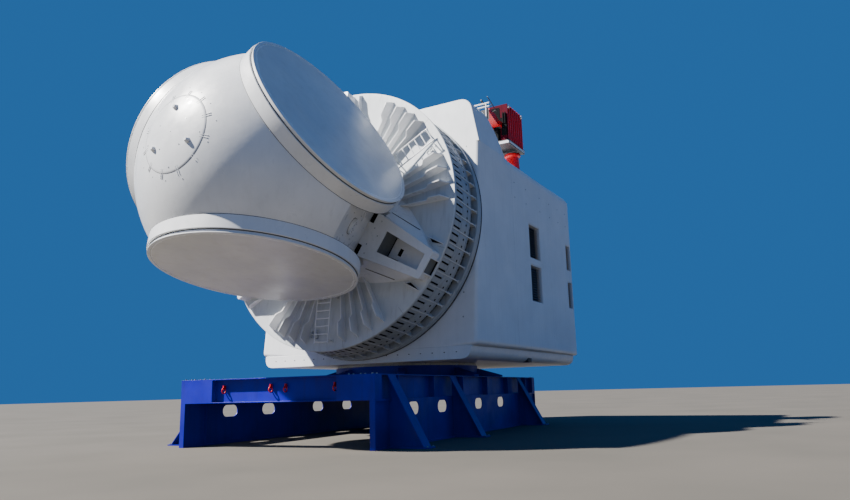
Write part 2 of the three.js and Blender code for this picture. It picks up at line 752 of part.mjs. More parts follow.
function sideLouvre([front, rear, low, high], side) {
  const inner = side * (HALF_WIDTH - LOUVRE_RECESS + SEAT);
  const root = inner + side * (LOUVRE_BACK - WELD);
  const lip = side * (HALF_WIDTH - SLAT_INSET);
  const back = block(rear + SEAT, front - SEAT, inner, inner + side * LOUVRE_BACK, low + SEAT, high - SEAT);
  const slats = [];
  const count = Math.floor((high - low) / SLAT_PITCH);
  for (let i = 0; i < count; i += 1) {
    const z = low + (i + 0.5) * ((high - low) / count) + SLAT_DROP / 3;
    const slat = hull([rear + SEAT, front - SEAT].flatMap((x) => [
      [x, root, z], [x, root, z + SLAT_THICKNESS],
      [x, lip, z - SLAT_DROP], [x, lip, z - SLAT_DROP + SLAT_THICKNESS],
    ]));
    slats.push(slat);
  }
  return joined([back, ...slats]);
}

function guardRail(humpBody) {
  const parts = [];
  for (const z of [RAIL_TOP, RAIL_MID]) {
    parts.push(bar([RAIL_X, -RAIL_HALF, z], [RAIL_X, RAIL_HALF, z], RAIL_TUBE, 8));
  }
  for (let i = 0; i < RAIL_POSTS; i += 1) {
    const end = RAIL_HALF - RAIL_OVERHANG;
    const y = THREE.MathUtils.lerp(-end, end, i / (RAIL_POSTS - 1));
    parts.push(bar([RAIL_X, y, ROOF], [RAIL_X, y, RAIL_TOP], RAIL_TUBE, 8));
  }
  return joined(parts).subtract(move(humpBody, 0, 0, SEAT));
}

function craneColumn() {
  const base = ROOF + SEAT;
  const top = CRANE_DECK - RUNNING;
  const post = upright(turned([
    [0, base], [CRANE_BASE_R, base], [CRANE_BASE_R, base + CRANE_BASE_THICKNESS],
    [CRANE_CONE_R, base + CRANE_CONE_TOP], [CRANE_COLUMN_R, top - CRANE_HEAD_HEIGHT - CRANE_HEAD_TAPER],
    [CRANE_HEAD_R, top - CRANE_HEAD_HEIGHT], [CRANE_HEAD_R, top], [0, top],
  ], 24));
  return move(post, CRANE_X, CRANE_Y, 0);
}

function craneDeck() {
  const top = CRANE_DECK + CRANE_DECK_THICKNESS;
  const frame = block(CRANE_X - DECK_BACK, CRANE_X + CRANE_HOUSE_FRONT + 2 * DECK_EDGE,
    CRANE_Y - CRANE_HOUSE_HALF - 3 * DECK_EDGE, CRANE_Y + CRANE_HOUSE_HALF + DECK_EDGE, CRANE_DECK, top);
  const recess = block(CRANE_X + DECK_BACK, CRANE_X + CRANE_HOUSE_FRONT, CRANE_Y - CRANE_HOUSE_HALF,
    CRANE_Y + CRANE_HOUSE_HALF - DECK_EDGE, CRANE_DECK - 10, top - DECK_EDGE);
  return frame.subtract(recess);
}

function craneHouse() {
  const base = CRANE_DECK + CRANE_DECK_THICKNESS + SEAT;
  const top = base + CRANE_HOUSE_HEIGHT;
  const x0 = CRANE_X + CRANE_HOUSE_BACK;
  const x1 = CRANE_X + CRANE_HOUSE_FRONT;
  const y0 = CRANE_Y - CRANE_HOUSE_HALF;
  const y1 = CRANE_Y + CRANE_HOUSE_HALF;
  const parts = [block(x0, x1, y0 + HOUSE_RIB_DEPTH, y1 - HOUSE_RIB_DEPTH, base, top)];
  const half = HOUSE_RIB_WIDTH / 2;
  for (let i = 0; i < HOUSE_RIBS; i += 1) {
    const x = THREE.MathUtils.lerp(x0 + half, x1 - half, i / (HOUSE_RIBS - 1));
    parts.push(block(x - half, x + half, y0, y1, base + HOUSE_RIB_DEPTH, top));
  }
  const pivot = CRANE_X + BOOM_PIVOT_AHEAD;
  for (const side of [-1, 1]) {
    const y = CRANE_Y + side * CHEEK_OFFSET;
    parts.push(block(x1 - WELD, pivot + CHEEK_REACH, y - CHEEK_HALF, y + CHEEK_HALF,
      BOOM_PIVOT_Z - CHEEK_RISE, BOOM_PIVOT_Z + CHEEK_RISE));
  }
  const pinHalf = CHEEK_OFFSET + CHEEK_HALF / 2;
  const pinEnd = (side) => [pivot, CRANE_Y + side * pinHalf, BOOM_PIVOT_Z];
  parts.push(bar(pinEnd(-1), pinEnd(1), BOOM_PIN, 24));
  return joined(parts);
}

// Boom frame: origin at the boom pivot, X out along the boom
function boomMatrix() {
  const matrix = new THREE.Matrix4().makeTranslation(CRANE_X + BOOM_PIVOT_AHEAD, CRANE_Y, BOOM_PIVOT_Z);
  return matrix.multiply(new THREE.Matrix4().makeRotationY(-BOOM_RISE));
}

// Boom: deepest near the middle, narrower towards its tip
function craneBoom() {
  const section = (x, half, heights) => heights.flatMap((z) => [[x, -half, z], [x, half, z]]);
  const [knee, ...kneeHeights] = BOOM_KNEE;
  const beam = hull([
    ...section(0, BOOM_HALF, [-BOOM_EYE_R, BOOM_EYE_R]), ...section(knee, BOOM_HALF, kneeHeights),
    ...section(BOOM_LENGTH, BOOM_END_HALF, BOOM_END),
  ]);
  const across = new THREE.Matrix4().makeRotationZ(Math.PI / 2);
  const eye = placed(ring(BOOM_EYE_R, 0, -BOOM_HALF, BOOM_HALF, 24), across);
  const bore = placed(ring(BOOM_PIN / 2 + 1, 0, -2 * BOOM_HALF, 2 * BOOM_HALF, 24), across);
  return placed(beam.add(eye).subtract(bore), boomMatrix());
}

function craneTip() {
  const from = BOOM_LENGTH + SEAT;
  const section = (x, heights) => heights.flatMap((z) => [[x, -BOOM_TIP_HALF, z], [x, BOOM_TIP_HALF, z]]);
  const tip = hull([...section(from, BOOM_TIP_ROOT), ...section(from + BOOM_TIP_LENGTH, BOOM_TIP_END)]);
  return placed(tip, boomMatrix());
}

function mainAxle() {
  const back = -DRUM_DEPTH + AXLE_LENGTH - RUNNING;
  const lean = new THREE.Matrix4().makeTranslation(0, 0, RIM_HEIGHT);
  lean.multiply(new THREE.Matrix4().makeRotationY(-TILT));
  return placed(ring(AXLE_R, 0, -FACE_BACK + SEAT, back, RIB_COUNT * 2), lean);
}

function buildNacelle() {
  const group = new THREE.Group();
  const hump = nacelleHump();
  piece(group, 'nacelle_housing', nacelleHousing(), 'white');
  piece(group, 'nacelle_hump', hump, 'white');
  piece(group, 'nacelle_belly', nacelleBelly(), 'white');
  piece(group, 'main_axle', mainAxle(), 'steel');
  LOUVRES.forEach((hole, i) => {
    piece(group, `left_louvre_${i + 1}`, sideLouvre(hole, 1), 'louvre');
    piece(group, `right_louvre_${i + 1}`, sideLouvre(hole, -1), 'louvre');
  });
  piece(group, 'hump_guard_rail', guardRail(hump), 'white');
  piece(group, 'crane_column', craneColumn(), 'red');
  piece(group, 'crane_deck', craneDeck(), 'steel');
  piece(group, 'crane_house', craneHouse(), 'red');
  piece(group, 'crane_boom', craneBoom(), 'red');
  piece(group, 'crane_boom_tip', craneTip(), 'dark');
  const yawRing = upright(ring(YAW_RING_R, YAW_RING_BORE, PEDESTAL_TOP + RUNNING, BELLY_BOTTOM - SEAT, 72));
  piece(group, 'yaw_ring', move(yawRing, YAW_X, 0, 0), 'steel');
  return group;
}

// Stand frame: origin on the ground under the yaw axis, X forwards along the stand
function crossBeam(middle, half, withBlocks) {
  const y = half;
  const low = STAND_TOP - BEAM_DEPTH;
  const w = BEAM_WIDTH / 2;
  const parts = [
    block(middle - w, middle + w, -y, y, STAND_TOP - FLANGE, STAND_TOP),
    block(middle - w, middle + w, -y, y, low, low + FLANGE),
    block(middle - WEB / 2, middle + WEB / 2, -y, y, low, STAND_TOP),
  ];
  if (withBlocks) {
    for (const side of [-1, 1]) {
      parts.push(block(middle - w, middle + w, side * y, side * (y - END_BLOCK), low, STAND_TOP));
    }
  }
  return joined(parts);
}

function sideBeam(side) {
  const low = STAND_TOP - BEAM_DEPTH;
  const x0 = STAND_REAR + BEAM_WIDTH + SEAT;
  const x1 = STAND_FRONT - BEAM_WIDTH - SEAT;
  const outer = side * STAND_HALF;
  const inner = side * (STAND_HALF - BEAM_WIDTH);
  const middle = side * (STAND_HALF - BEAM_WIDTH / 2);
  const parts = [
    block(x0, x1, inner, outer, STAND_TOP - FLANGE, STAND_TOP),
    block(x0, x1, inner, outer, low, low + FLANGE),
    block(x0, x1, middle - WEB / 2, middle + WEB / 2, low, STAND_TOP),
  ];
  for (const step of STIFFENER_STEPS) {
    const x = STAND_FRONT - step;
    parts.push(block(x - WEB / 2, x + WEB / 2, inner, outer, low, STAND_TOP));
  }
  return joined(parts);
}

// Wall under the side beam, flush with the outer edge of the beam
function sideWall(side) {
  const low = STAND_TOP - BEAM_DEPTH;
  const middle = side * (STAND_HALF - WEB / 2);
  const x0 = STAND_REAR + COLUMN_DEPTH - WELD;
  const x1 = STAND_FRONT - COLUMN_DEPTH + WELD;
  const foot = WALL_FOOT / 2;
  let wall = block(x0, x1, middle - WEB / 2, middle + WEB / 2, 0, low + WELD);
  wall = wall.add(block(x0, x1, middle - foot, middle + foot, 0, FOOT_THICKNESS));
  for (const step of side > 0 ? LEFT_HOLES : RIGHT_HOLES) {
    const y = middle - BEAM_WIDTH / 2;
    const hole = oblong(STAND_FRONT - step, HOLE_Z, HOLE_HALF, HOLE_RISE);
    wall = wall.subtract(prismY(hole, y, y + BEAM_WIDTH));
  }
  return wall;
}

// Corner column of I section: it carries the end of the cross beam and is welded under the side beam
function cornerColumn(end, side) {
  const low = STAND_TOP - BEAM_DEPTH;
  const top = low - SEAT;
  const front = end > 0 ? STAND_FRONT : STAND_REAR;
  const beam = front - end * (BEAM_WIDTH + SEAT);
  const back = front - end * COLUMN_DEPTH;
  const outer = side * STAND_HALF;
  const inner = outer - side * COLUMN_WIDTH;
  const middle = (outer + inner) / 2;
  const plate = (x0, x1, z0, z1) => block(x0, x1, outer, inner, z0, z1);
  return joined([
    plate(front, back, 0, FOOT_THICKNESS), plate(front, back, top - FLANGE, top),
    plate(front, front - end * FLANGE, 0, top), plate(back + end * FLANGE, back, 0, top),
    plate(beam, back, low - FLANGE, low + WELD),
    block(front, back, middle - WEB / 2, middle + WEB / 2, 0, top),
  ]);
}

// The braces of the left side start at the top flange of the beam, those of the right side under it
function brace(step, side) {
  const x = STAND_FRONT - step;
  const wall = side * (STAND_HALF - WEB);
  const edge = side * STAND_HALF;
  const foot = side * (STAND_HALF + BRACE_REACH);
  const top = side > 0 ? STAND_TOP - FLANGE + WELD : STAND_TOP - BEAM_DEPTH + WELD;
  const web = hull([x - WEB / 2, x + WEB / 2].flatMap((u) => [
    [u, wall, 0], [u, foot, 0], [u, wall, top], [u, edge, top],
  ]));
  const half = BRACE_FLANGE / 2;
  const flange = hull([x - half, x + half].flatMap((u) => [
    [u, foot, 0], [u, foot - side * FLANGE, 0], [u, edge, top], [u, edge - side * FLANGE, top],
  ]));
  const plate = block(x - half, x + half, wall, foot + side * BRACE_PLATE, 0, FOOT_THICKNESS);
  return joined([web, flange, plate]);
}

// One long side of the stand, welded together from beam, wall, columns and braces
function standSide(side) {
  const braces = BRACE_STEPS.map((step) => brace(step, side));
  return joined([sideBeam(side), sideWall(side), cornerColumn(1, side), cornerColumn(-1, side), ...braces]);
}

// Cross girders under the pedestal, held apart by two short lengthwise girders
function girderFrame() {
  const between = STAND_HALF - BEAM_WIDTH - SEAT;
  const low = STAND_TOP - BEAM_DEPTH;
  const cross = GIRDER_STEPS.map((step) => crossBeam(STAND_FRONT - step, between, false));
  const x0 = STAND_FRONT - GIRDER_STEPS[GIRDER_STEPS.length - 1];
  const x1 = STAND_FRONT - GIRDER_STEPS[0];
  const lengthwise = [-GIRDER_SPREAD, GIRDER_SPREAD].map((y) => (
    block(x0, x1, y - WEB, y + WEB, low, STAND_TOP)
  ));
  return joined([...cross, ...lengthwise]);
}

function pedestal() {
  const base = STAND_TOP + SEAT;
  const parts = [upright(ring(PEDESTAL_R, PEDESTAL_R - PEDESTAL_WALL, base, PEDESTAL_TOP, 72))];
  for (let i = 0; i < BRACKET_COUNT; i += 1) {
    const inner = PEDESTAL_R - PEDESTAL_WALL / 2;
    const bracket = hull([-BRACKET_HALF, BRACKET_HALF].flatMap((y) => [
      [inner, y, base], [BRACKET_REACH, y, base], [BRACKET_REACH, y, base + BRACKET_EDGE],
      [inner, y, PEDESTAL_TOP - BRACKET_EDGE],
    ]));
    const turn = new THREE.Matrix4().makeRotationZ(((i + 0.5) * 2 * Math.PI) / BRACKET_COUNT);
    parts.push(placed(bracket, turn));
  }
  return joined(parts);
}

// Welded lug with a bow that hangs in it, in front of the web of the front beam
function shackle(y) {
  const face = STAND_FRONT - BEAM_WIDTH / 2 + WEB / 2 + SEAT;
  const half = SHACKLE_BAR_R;
  const lug = block(face, face + SHACKLE_LUG, y - half, y + half, SHACKLE_Z - half, SHACKLE_Z + 6 * half);
  const bow = new THREE.TorusGeometry(SHACKLE_BOW_R, SHACKLE_BAR_R, 8, 20);
  bow.rotateY(Math.PI / 2);
  bow.translate(face + SHACKLE_BOW_R - 10, y, SHACKLE_Z - SHACKLE_BOW_R / 2);
  return lug.add(solid(bow));
}

function buildStand() {
  const group = new THREE.Group();
  group.position.set(YAW_X, 0, 0);
  group.rotation.z = STAND_TURN;
  const inset = BEAM_WIDTH / 2;
  piece(group, 'stand_front_beam', crossBeam(STAND_FRONT - inset, STAND_HALF, true), 'blue');
  piece(group, 'stand_rear_beam', crossBeam(STAND_REAR + inset, STAND_HALF, true), 'blue');
  piece(group, 'stand_left_side', standSide(1), 'blue');
  piece(group, 'stand_right_side', standSide(-1), 'blue');
  piece(group, 'stand_girders', girderFrame(), 'blue');
  piece(group, 'pedestal', pedestal(), 'blue');
  SHACKLE_PLACES.forEach((y, i) => piece(group, `shackle_${i + 1}`, shackle(y), 'red'));
  return group;
}

const assembly = new THREE.Group();
assembly.add(buildStand(), buildNacelle(), buildRotor());

// The origin is under the middle of the whole part, on the ground
assembly.updateMatrixWorld(true);
const bounds = new THREE.Box3().setFromObject(assembly, true);
const middle = bounds.getCenter(new THREE.Vector3());
assembly.position.set(-middle.x, -middle.y, -bounds.min.z);

export default assembly;
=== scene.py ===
"""Looks of a direct-drive wind turbine nacelle on its blue transport stand, built on the CAD frame.

Metres, +Z up, +X towards the nose of the hub, +Y is the left side of the nacelle.
"""

import json
import math
from functools import cache

import bmesh
import bpy
from mathutils import Matrix, Vector, noise


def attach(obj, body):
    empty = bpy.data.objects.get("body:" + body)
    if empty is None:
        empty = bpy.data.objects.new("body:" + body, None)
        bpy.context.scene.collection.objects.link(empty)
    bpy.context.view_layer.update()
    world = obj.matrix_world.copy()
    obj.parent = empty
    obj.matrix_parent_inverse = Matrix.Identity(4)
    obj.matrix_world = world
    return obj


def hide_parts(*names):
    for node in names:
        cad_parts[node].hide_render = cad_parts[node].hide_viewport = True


bl_info = {
    "name": "Wind turbine nacelle",
    "version": (1, 0, 0),
    "blender": (4, 5, 0),
    "location": "View3D > Sidebar > Nacelle",
    "description": "Builds the looks of a wind turbine nacelle with its hub on a transport stand",
    "category": "Object",
}

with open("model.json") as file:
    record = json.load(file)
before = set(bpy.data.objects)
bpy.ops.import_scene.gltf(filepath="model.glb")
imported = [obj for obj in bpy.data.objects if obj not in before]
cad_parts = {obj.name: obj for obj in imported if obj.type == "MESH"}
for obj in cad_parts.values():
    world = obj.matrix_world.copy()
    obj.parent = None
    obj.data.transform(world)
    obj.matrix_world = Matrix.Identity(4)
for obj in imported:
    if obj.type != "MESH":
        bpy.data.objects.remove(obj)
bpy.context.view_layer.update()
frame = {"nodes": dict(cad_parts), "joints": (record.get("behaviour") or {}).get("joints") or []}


def move(x, y, z):
    """Matrix of a move."""
    return Matrix.Translation((x, y, z))


def turn(degrees, axis):
    """Matrix of a turn about an axis."""
    return Matrix.Rotation(math.radians(degrees), 4, axis)


# Frames of the main assemblies
PIVOTS = {joint["name"]: Vector(joint["pos_m"]) for joint in frame["joints"]}
TILT, CONE, STAND_TURN, BOOM_RISE = 6.66, 3.8, 4.8, 20
ROTOR = move(*PIVOTS["rotor_spin"]) @ turn(-TILT, "Y")
YAW = PIVOTS["yaw"]
NACELLE = move(YAW.x + 5.1, YAW.y, 0)
STAND = move(YAW.x, YAW.y, 0) @ turn(STAND_TURN, "Z")
SLEW = move(*PIVOTS["crane_slew"])
BOOM = move(*PIVOTS["boom_luff"]) @ turn(-BOOM_RISE, "Y")

# Sizes that the CAD frame fixes
GAP = 0.0003
BLADES = (60, 180, 300)
ARMS = (0, 120, 240)
HUB_AHEAD, HUB_R, HUB_NOSE_R, HUB_FOOT_R = 3.683, 4.25, 4.2, 2.15
HUB_FLAT, FLAT_LEAN = 3.419, 27.9
PORT_FACE, PORT_FRONT, PORT_R = 2.6, 3.16, 3.34
RIM_R, LAND_R, FLANGE_R, DISH_DEPTH, DISH_SKIN = 5.14, 4.85, 2.17, 0.25, 0.09
ARM_TIP, POCKET_FLOOR = 5.03, 0.18
POCKET_ROOT, POCKET_TIP = (3.22, 0.4), (4.81, 0.3)
DRUM_FRONT, DRUM_BACK, DRUM_CORE_R, DRUM_BAND_R = -0.0903, -2.144, 4.9, 5.165
BAY_FRONT, BAY_STEP, BAY_REAR, BAY_R = -0.15, -1.4, -1.804, 4.99
DRUM_PITCH = 6
HOUSING_HALF, HOUSING_ROOF, HOUSING_REAR, HOUSING_FRONT, AXIS_Z = 5.0, 11.2, -13.4, -2.17, 8.19
LOUVRES = (
    (-7.36, -8.70, 7.16, 8.74),
    (-7.36, -8.70, 5.25, 6.92),
    (-12.33, -13.03, 7.28, 8.62),
    (-12.33, -13.03, 5.39, 6.76),
)
LOUVRE_RECESS = 0.26
RAIL_X, RAIL_HALF, RAIL_FOOT, RAIL_BARS = -4.33, 4.7, 12.45, (13.32, 13.17)
CRANE_FRONT, CRANE_HALF, COLUMN_FLANGE = 1.6, 0.495, -1.32
STAND_FRONT, STAND_REAR, STAND_HALF, STAND_TOP, BEAM_WIDTH = 9.37, -6.83, 3.6, 2.13, 0.42
BRACE_STEPS, BRACE_REACH = (1.035, 5.75, 13.6), 1.15

# Sockets of the Mix node in its colour mode
MIX_FACTOR, MIX_A, MIX_B, MIX_RESULT = 0, 6, 7, 2


# Kinds of setting


def linear(code):
    """Linear RGBA of an sRGB hex colour."""
    values = [int(code[i : i + 2], 16) / 255 for i in (1, 3, 5)]
    return [v / 12.92 if v <= 0.04045 else ((v + 0.055) / 1.055) ** 2.4 for v in values] + [1.0]


def length(label, about, default):
    """A setting in metres."""
    return bpy.props.FloatProperty(name=label, description=about, default=default, unit="LENGTH")


def count(label, about, default):
    """A setting that is a whole number."""
    return bpy.props.IntProperty(name=label, description=about, default=default, min=3)


def colour(label, about, code):
    """A setting that is a colour, given as an sRGB hex code."""
    tone = linear(code)[:3]
    return bpy.props.FloatVectorProperty(
        name=label, description=about, default=tone, size=3, min=0, max=1, subtype="COLOR"
    )


# Materials


class PaintSettings(bpy.types.PropertyGroup):
    """The main paints, each between a dark and a light tone."""

    white_dark: colour("White, dark", "Darker tone of the white castings", "#D9DBDD")
    white_light: colour("White, light", "Lighter tone of the white castings", "#E6E7E8")
    panel_dark: colour("Panel, dark", "Darker tone of the white housing", "#DADDE0")
    panel_light: colour("Panel, light", "Lighter tone of the white housing", "#E5E7E9")
    blue_dark: colour("Blue, dark", "Darker tone of the stand", "#130F8A")
    blue_light: colour("Blue, light", "Lighter tone of the stand", "#1713A4")
    red_dark: colour("Red, dark", "Darker tone of the crane", "#C2121A")
    red_light: colour("Red, light", "Lighter tone of the crane", "#DA1C22")

    def tones(self, name):
        """Both tones of a paint."""
        return [[*getattr(self, f"{name}_{shade}"), 1.0] for shade in ("dark", "light")]


def add(tree, kind, values=None, links=None, **fields):
    """Adds a node: values fill its sockets, links feed them. A node stands for its first output."""
    made = tree.nodes.new(kind)
    for field, value in fields.items():
        setattr(made, field, value)
    for socket, value in (values or {}).items():
        made.inputs[socket].default_value = value
    for socket, source in (links or {}).items():
        output = source.outputs[0] if isinstance(source, bpy.types.Node) else source
        tree.links.new(output, made.inputs[socket])
    return made


def blank_material(name, **uniform):
    """A material with one Principled shader, whose uniform values are set on its own sockets."""
    made = bpy.data.materials.new(name)
    made.use_nodes = True
    tree = made.node_tree
    tree.nodes.clear()
    shader = add(tree, "ShaderNodeBsdfPrincipled")
    for socket, value in uniform.items():
        shader.inputs[socket.replace("_", " ")].default_value = value
    add(tree, "ShaderNodeOutputMaterial", links={"Surface": shader})
    return made, tree, shader, add(tree, "ShaderNodeTexCoord").outputs["Object"]


def cloud(tree, place, metres, detail=4.0, stretch=(1, 1, 1)):
    """Noise whose patches are about that many metres across."""
    scaled = add(tree, "ShaderNodeMapping", {"Scale": [s / metres for s in stretch]}, {"Vector": place})
    look = {"Scale": 1.0, "Detail": detail, "Roughness": 0.55}
    return add(tree, "ShaderNodeTexNoise", look, {"Vector": scaled})


def patchy(tree, place, metres, low, high, span=(0.35, 0.65), **kind):
    """A value that runs from low to high as a cloud runs over a span of its heights."""
    reach = {"From Min": span[0], "From Max": span[1], "To Min": low, "To Max": high}
    return add(tree, "ShaderNodeMapRange", reach, {"Value": cloud(tree, place, metres, **kind)})


def stained(tree, place, first, second, metres, share=1.0, **kind):
    """The first colour with patches of the second. Each is a hex code, linear values or a socket."""
    factor = patchy(tree, place, metres, 0, share, **kind)
    made = add(tree, "ShaderNodeMix", links={MIX_FACTOR: factor}, data_type="RGBA")
    for socket, tone in ((MIX_A, first), (MIX_B, second)):
        if isinstance(tone, bpy.types.NodeSocket):
            tree.links.new(tone, made.inputs[socket])
        else:
            made.inputs[socket].default_value = linear(tone) if isinstance(tone, str) else tone
    return made.outputs[MIX_RESULT]


def relief(tree, place, shader, layers):
    """Bump from one or more (metres across, detail, metres deep) layers."""
    below = {}
    for metres, detail, depth in layers:
        links = {"Height": cloud(tree, place, metres, detail), **below}
        below = {"Normal": add(tree, "ShaderNodeBump", {"Strength": 1.0, "Distance": depth}, links)}
    tree.links.new(below["Normal"].outputs[0], shader.inputs["Normal"])


def coated(name, tones, metres, detail=4.0, dirt=None, rough=None, layers=(), **uniform):
    """A coat that drifts between two tones.

    dirt says how it is stained, rough is (metres across, low, high) and layers are its relief.
    """
    made, tree, shader, place = blank_material(name, **uniform)
    tone = stained(tree, place, *tones, metres, detail=detail)
    if dirt:
        tone = stained(tree, place, tone, **dirt)
    tree.links.new(tone, shader.inputs["Base Color"])
    if rough:
        tree.links.new(patchy(tree, place, *rough).outputs[0], shader.inputs["Roughness"])
    if layers:
        relief(tree, place, shader, layers)
    return made


def painted(name, tones, grime, rough, ripple, runs=0.12, **uniform):
    """Paint on metal: broad patches between two tones, thin runs of dirt and a slightly uneven skin."""
    dirt = {"second": grime, "metres": 0.16, "share": runs, "span": (0.52, 0.72), "detail": 3.0}
    dirt["stretch"] = (1, 1, 0.08)
    peel = (0.012, 2.0, 0.00015)
    layers = ((ripple[0], 2.0, ripple[1]), peel)
    return coated(name, tones, 1.6, 6.0, dirt, (0.5, rough - 0.05, rough + 0.08), layers, **uniform)


def chosen(name):
    """Both tones of a paint as the settings have them."""
    return bpy.context.scene.turbine_paint.tones(name)


@cache
def white_on_casting():
    # White topcoat over rough cast iron: satin gleam that breaks up over the casting's slow waves
    tones = chosen("white")
    return painted("white_topcoat_on_casting", tones, "#B9B6AF", 0.32, (0.45, 0.004), Coat_Weight=0.25)


@cache
def white_on_panels():
    # White topcoat on welded and laid-up panels: flatter than the castings, with faint broad waves
    tones = chosen("panel")
    return painted("white_topcoat_on_panels", tones, "#B4B4B0", 0.38, (1.1, 0.005), Coat_Weight=0.15)


@cache
def white_on_dish():
    # White topcoat on the turned dish, toned down to light grey as painted shade for the dish between the
    # fins, with thin runs of road dust
    tones = ("#C0C5C8", "#CFD3D5")
    return painted("dish_white_with_painted_shade", tones, "#8E8F8B", 0.42, (0.6, 0.002), 0.25)


@cache
def white_on_drum():
    # Mid grey over the white topcoat of the ribbed drum: painted shade on the drum, and the plain grey of
    # the housing seams, with runs of dust and grease
    tones = ("#979FA6", "#ABB2B8")
    return painted("drum_painted_shade_and_seam_grey", tones, "#5E605F", 0.45, (0.3, 0.002), 0.35)


@cache
def ultramarine():
    # Ultramarine machinery enamel on rolled plate: deep blue with a soft sheen and scuffed dusty patches
    tones, waves = chosen("blue"), (0.7, 0.003)
    return painted(
        "ultramarine_enamel_on_plate", tones, "#221F58", 0.42, waves, 0.3, Specular_IOR_Level=0.25
    )


@cache
def signal_red():
    # Signal red enamel on sheet steel: saturated, glossy, slightly faded in patches
    return painted("signal_red_enamel", chosen("red"), "#8A2420", 0.32, (0.4, 0.002), 0.2)


@cache
def shaded_crimson():
    # Deep purplish crimson: painted shade on the sunlit front of the crane house, with almost no gleam so
    # that it stays dark in the sun
    tones = ("#4A061A", "#5A0922")
    return painted("crimson_painted_shade", tones, "#2A0A12", 0.6, (0.3, 0.002), 0.35, Specular_IOR_Level=0.05)


@cache
def louvre_grey():
    # Matt slate grey powder coat on the louvre blades: swallows light so the openings read as dark
    return painted("slate_powder_coat", ("#56697F", "#62768C"), "#3C454E", 0.6, (0.2, 0.001))


@cache
def galvanised():
    # Hot-dip galvanised fixings of the housing: dull grey with a cloudy spangle
    tones = ("#8B9196", "#A2A8AC")
    return painted("galvanised_frame", tones, "#6B6B66", 0.5, (0.15, 0.0006), Metallic=0.55)


@cache
def dark_steel():
    # Matt charcoal coat on the boom tip and small fittings; on the crane deck and the sheet behind the
    # hump's rail it is painted shade
    return painted("charcoal_and_painted_shade", ("#24272C", "#303439"), "#4A4742", 0.55, (0.1, 0.0006))


@cache
def painted_shade_grey():
    # Dull uneven grey: painted shade in deep corners and recesses of the white castings and the drum
    return painted("painted_shade_grey", ("#565B5D", "#676C6D"), "#3E4041", 0.6, (0.2, 0.002), 0.3)


@cache
def machined():
    # Oiled machined steel of the bearing faces: clouds of brownish oil film, duller where it is thick
    tones, film = ("#777C81", "#8D8A80"), (0.1, 0.25, 0.5)
    return coated("oiled_machined_steel", tones, 0.4, rough=film, Metallic=0.85)


@cache
def zinc():
    # Zinc flake coated bolts: pale grey, half matt, each a little different along its place
    return coated("zinc_flake_bolts", ("#8F9498", "#B4B8BA"), 0.3, Metallic=0.8, Roughness=0.42)


@cache
def rubber():
    # Black EPDM seal: dull, greyed by dust in patches
    return coated("epdm_seal", ("#202225", "#393B3D"), 0.3, Roughness=0.75)


@cache
def shadow_paint():
    # Almost black: painted shade for the unlit insides of holes, gaps, notches and recesses, and the black
    # of the hoist machinery
    tones = ("#0C0E11", "#17191C")
    return coated("black_and_painted_shade", tones, 0.2, Roughness=0.9, Specular_IOR_Level=0.1)


@cache
def tarpaulin():
    # PVC-coated polyester tarpaulin, drawn tight: soft sheen, fine weave, cloudy handling marks
    dust = {"second": "#B9B2A8", "metres": 0.35, "share": 0.25, "span": (0.5, 0.75), "detail": 6.0}
    weave = (0.006, 1.0, 0.0002)
    layers = ((1.3, 3.0, 0.02), (0.4, 3.0, 0.004), weave)
    sheen = {"Coat_Weight": 0.3, "Coat_Roughness": 0.3}
    tones = ("#CFCFD0", "#DEDDDB")
    return coated("pvc_tarpaulin", tones, 1.8, 5.0, dust, (0.8, 0.28, 0.5), layers, **sheen)


@cache
def tape():
    # White sealing tape round a cover, pressed on by hand
    creases = ((0.05, 2.0, 0.001),)
    return coated("white_sealing_tape", ("#E6E8E9", "#F2F3F3"), 0.2, layers=creases, Roughness=0.35)


@cache
def lamp_lens():
    # Frosted polycarbonate lens of the signal lamps
    return coated("frosted_lens", ("#E9ECEE", "#F6F7F7"), 0.1, Roughness=0.3, Coat_Weight=0.5)


def pale_floor():
    # Pale matt studio floor
    return coated("studio_floor", ("#504C44", "#58534B"), 6.0, 3.0, Roughness=0.9)


# Finish: its material and its slot
FINISHES = {
    "casting": (white_on_casting, "white_paint"),
    "panel": (white_on_panels, "white_paint"),
    "dish": (white_on_dish, "white_paint"),
    "drum": (white_on_drum, "white_paint"),
    "cover": (tarpaulin, "port_cover"),
    "tape": (tape, "port_cover"),
    "blue": (ultramarine, "blue_paint"),
    "red": (signal_red, "red_paint"),
    "shaded_crimson": (shaded_crimson, "red_paint"),
    "louvre": (louvre_grey, "louvre"),
    "galvanised": (galvanised, "machined_steel"),
    "steel": (machined, "machined_steel"),
    "bolt": (zinc, "machined_steel"),
    "dark": (dark_steel, "dark_steel"),
    "rubber": (rubber, "dark_steel"),
    "corner_shade": (painted_shade_grey, "dark_steel"),
    "black": (shadow_paint, "dark_steel"),
    "lens": (lamp_lens, "white_paint"),
}


# Pieces


def carried(mesh, kind):
    """A passing object that holds a mesh, with a modifier."""
    carrier = bpy.data.objects.new("carrier", mesh)
    bpy.context.scene.collection.objects.link(carrier)
    return carrier, carrier.modifiers.new("Shape", kind)


def plain_mesh(carrier):
    """What the carrier's modifier makes of its mesh. The carrier is removed."""
    carrier.update_tag()
    shown = carrier.evaluated_get(bpy.context.evaluated_depsgraph_get())
    made = bpy.data.meshes.new_from_object(shown)
    bpy.data.objects.remove(carrier)
    return made


def evened(mesh):
    """The mesh with corner normals that follow its largest faces, so that big faces look flat."""
    carrier, modifier = carried(mesh, "WEIGHTED_NORMAL")
    modifier.mode = "FACE_AREA"
    modifier.keep_sharp = True
    return plain_mesh(carrier)


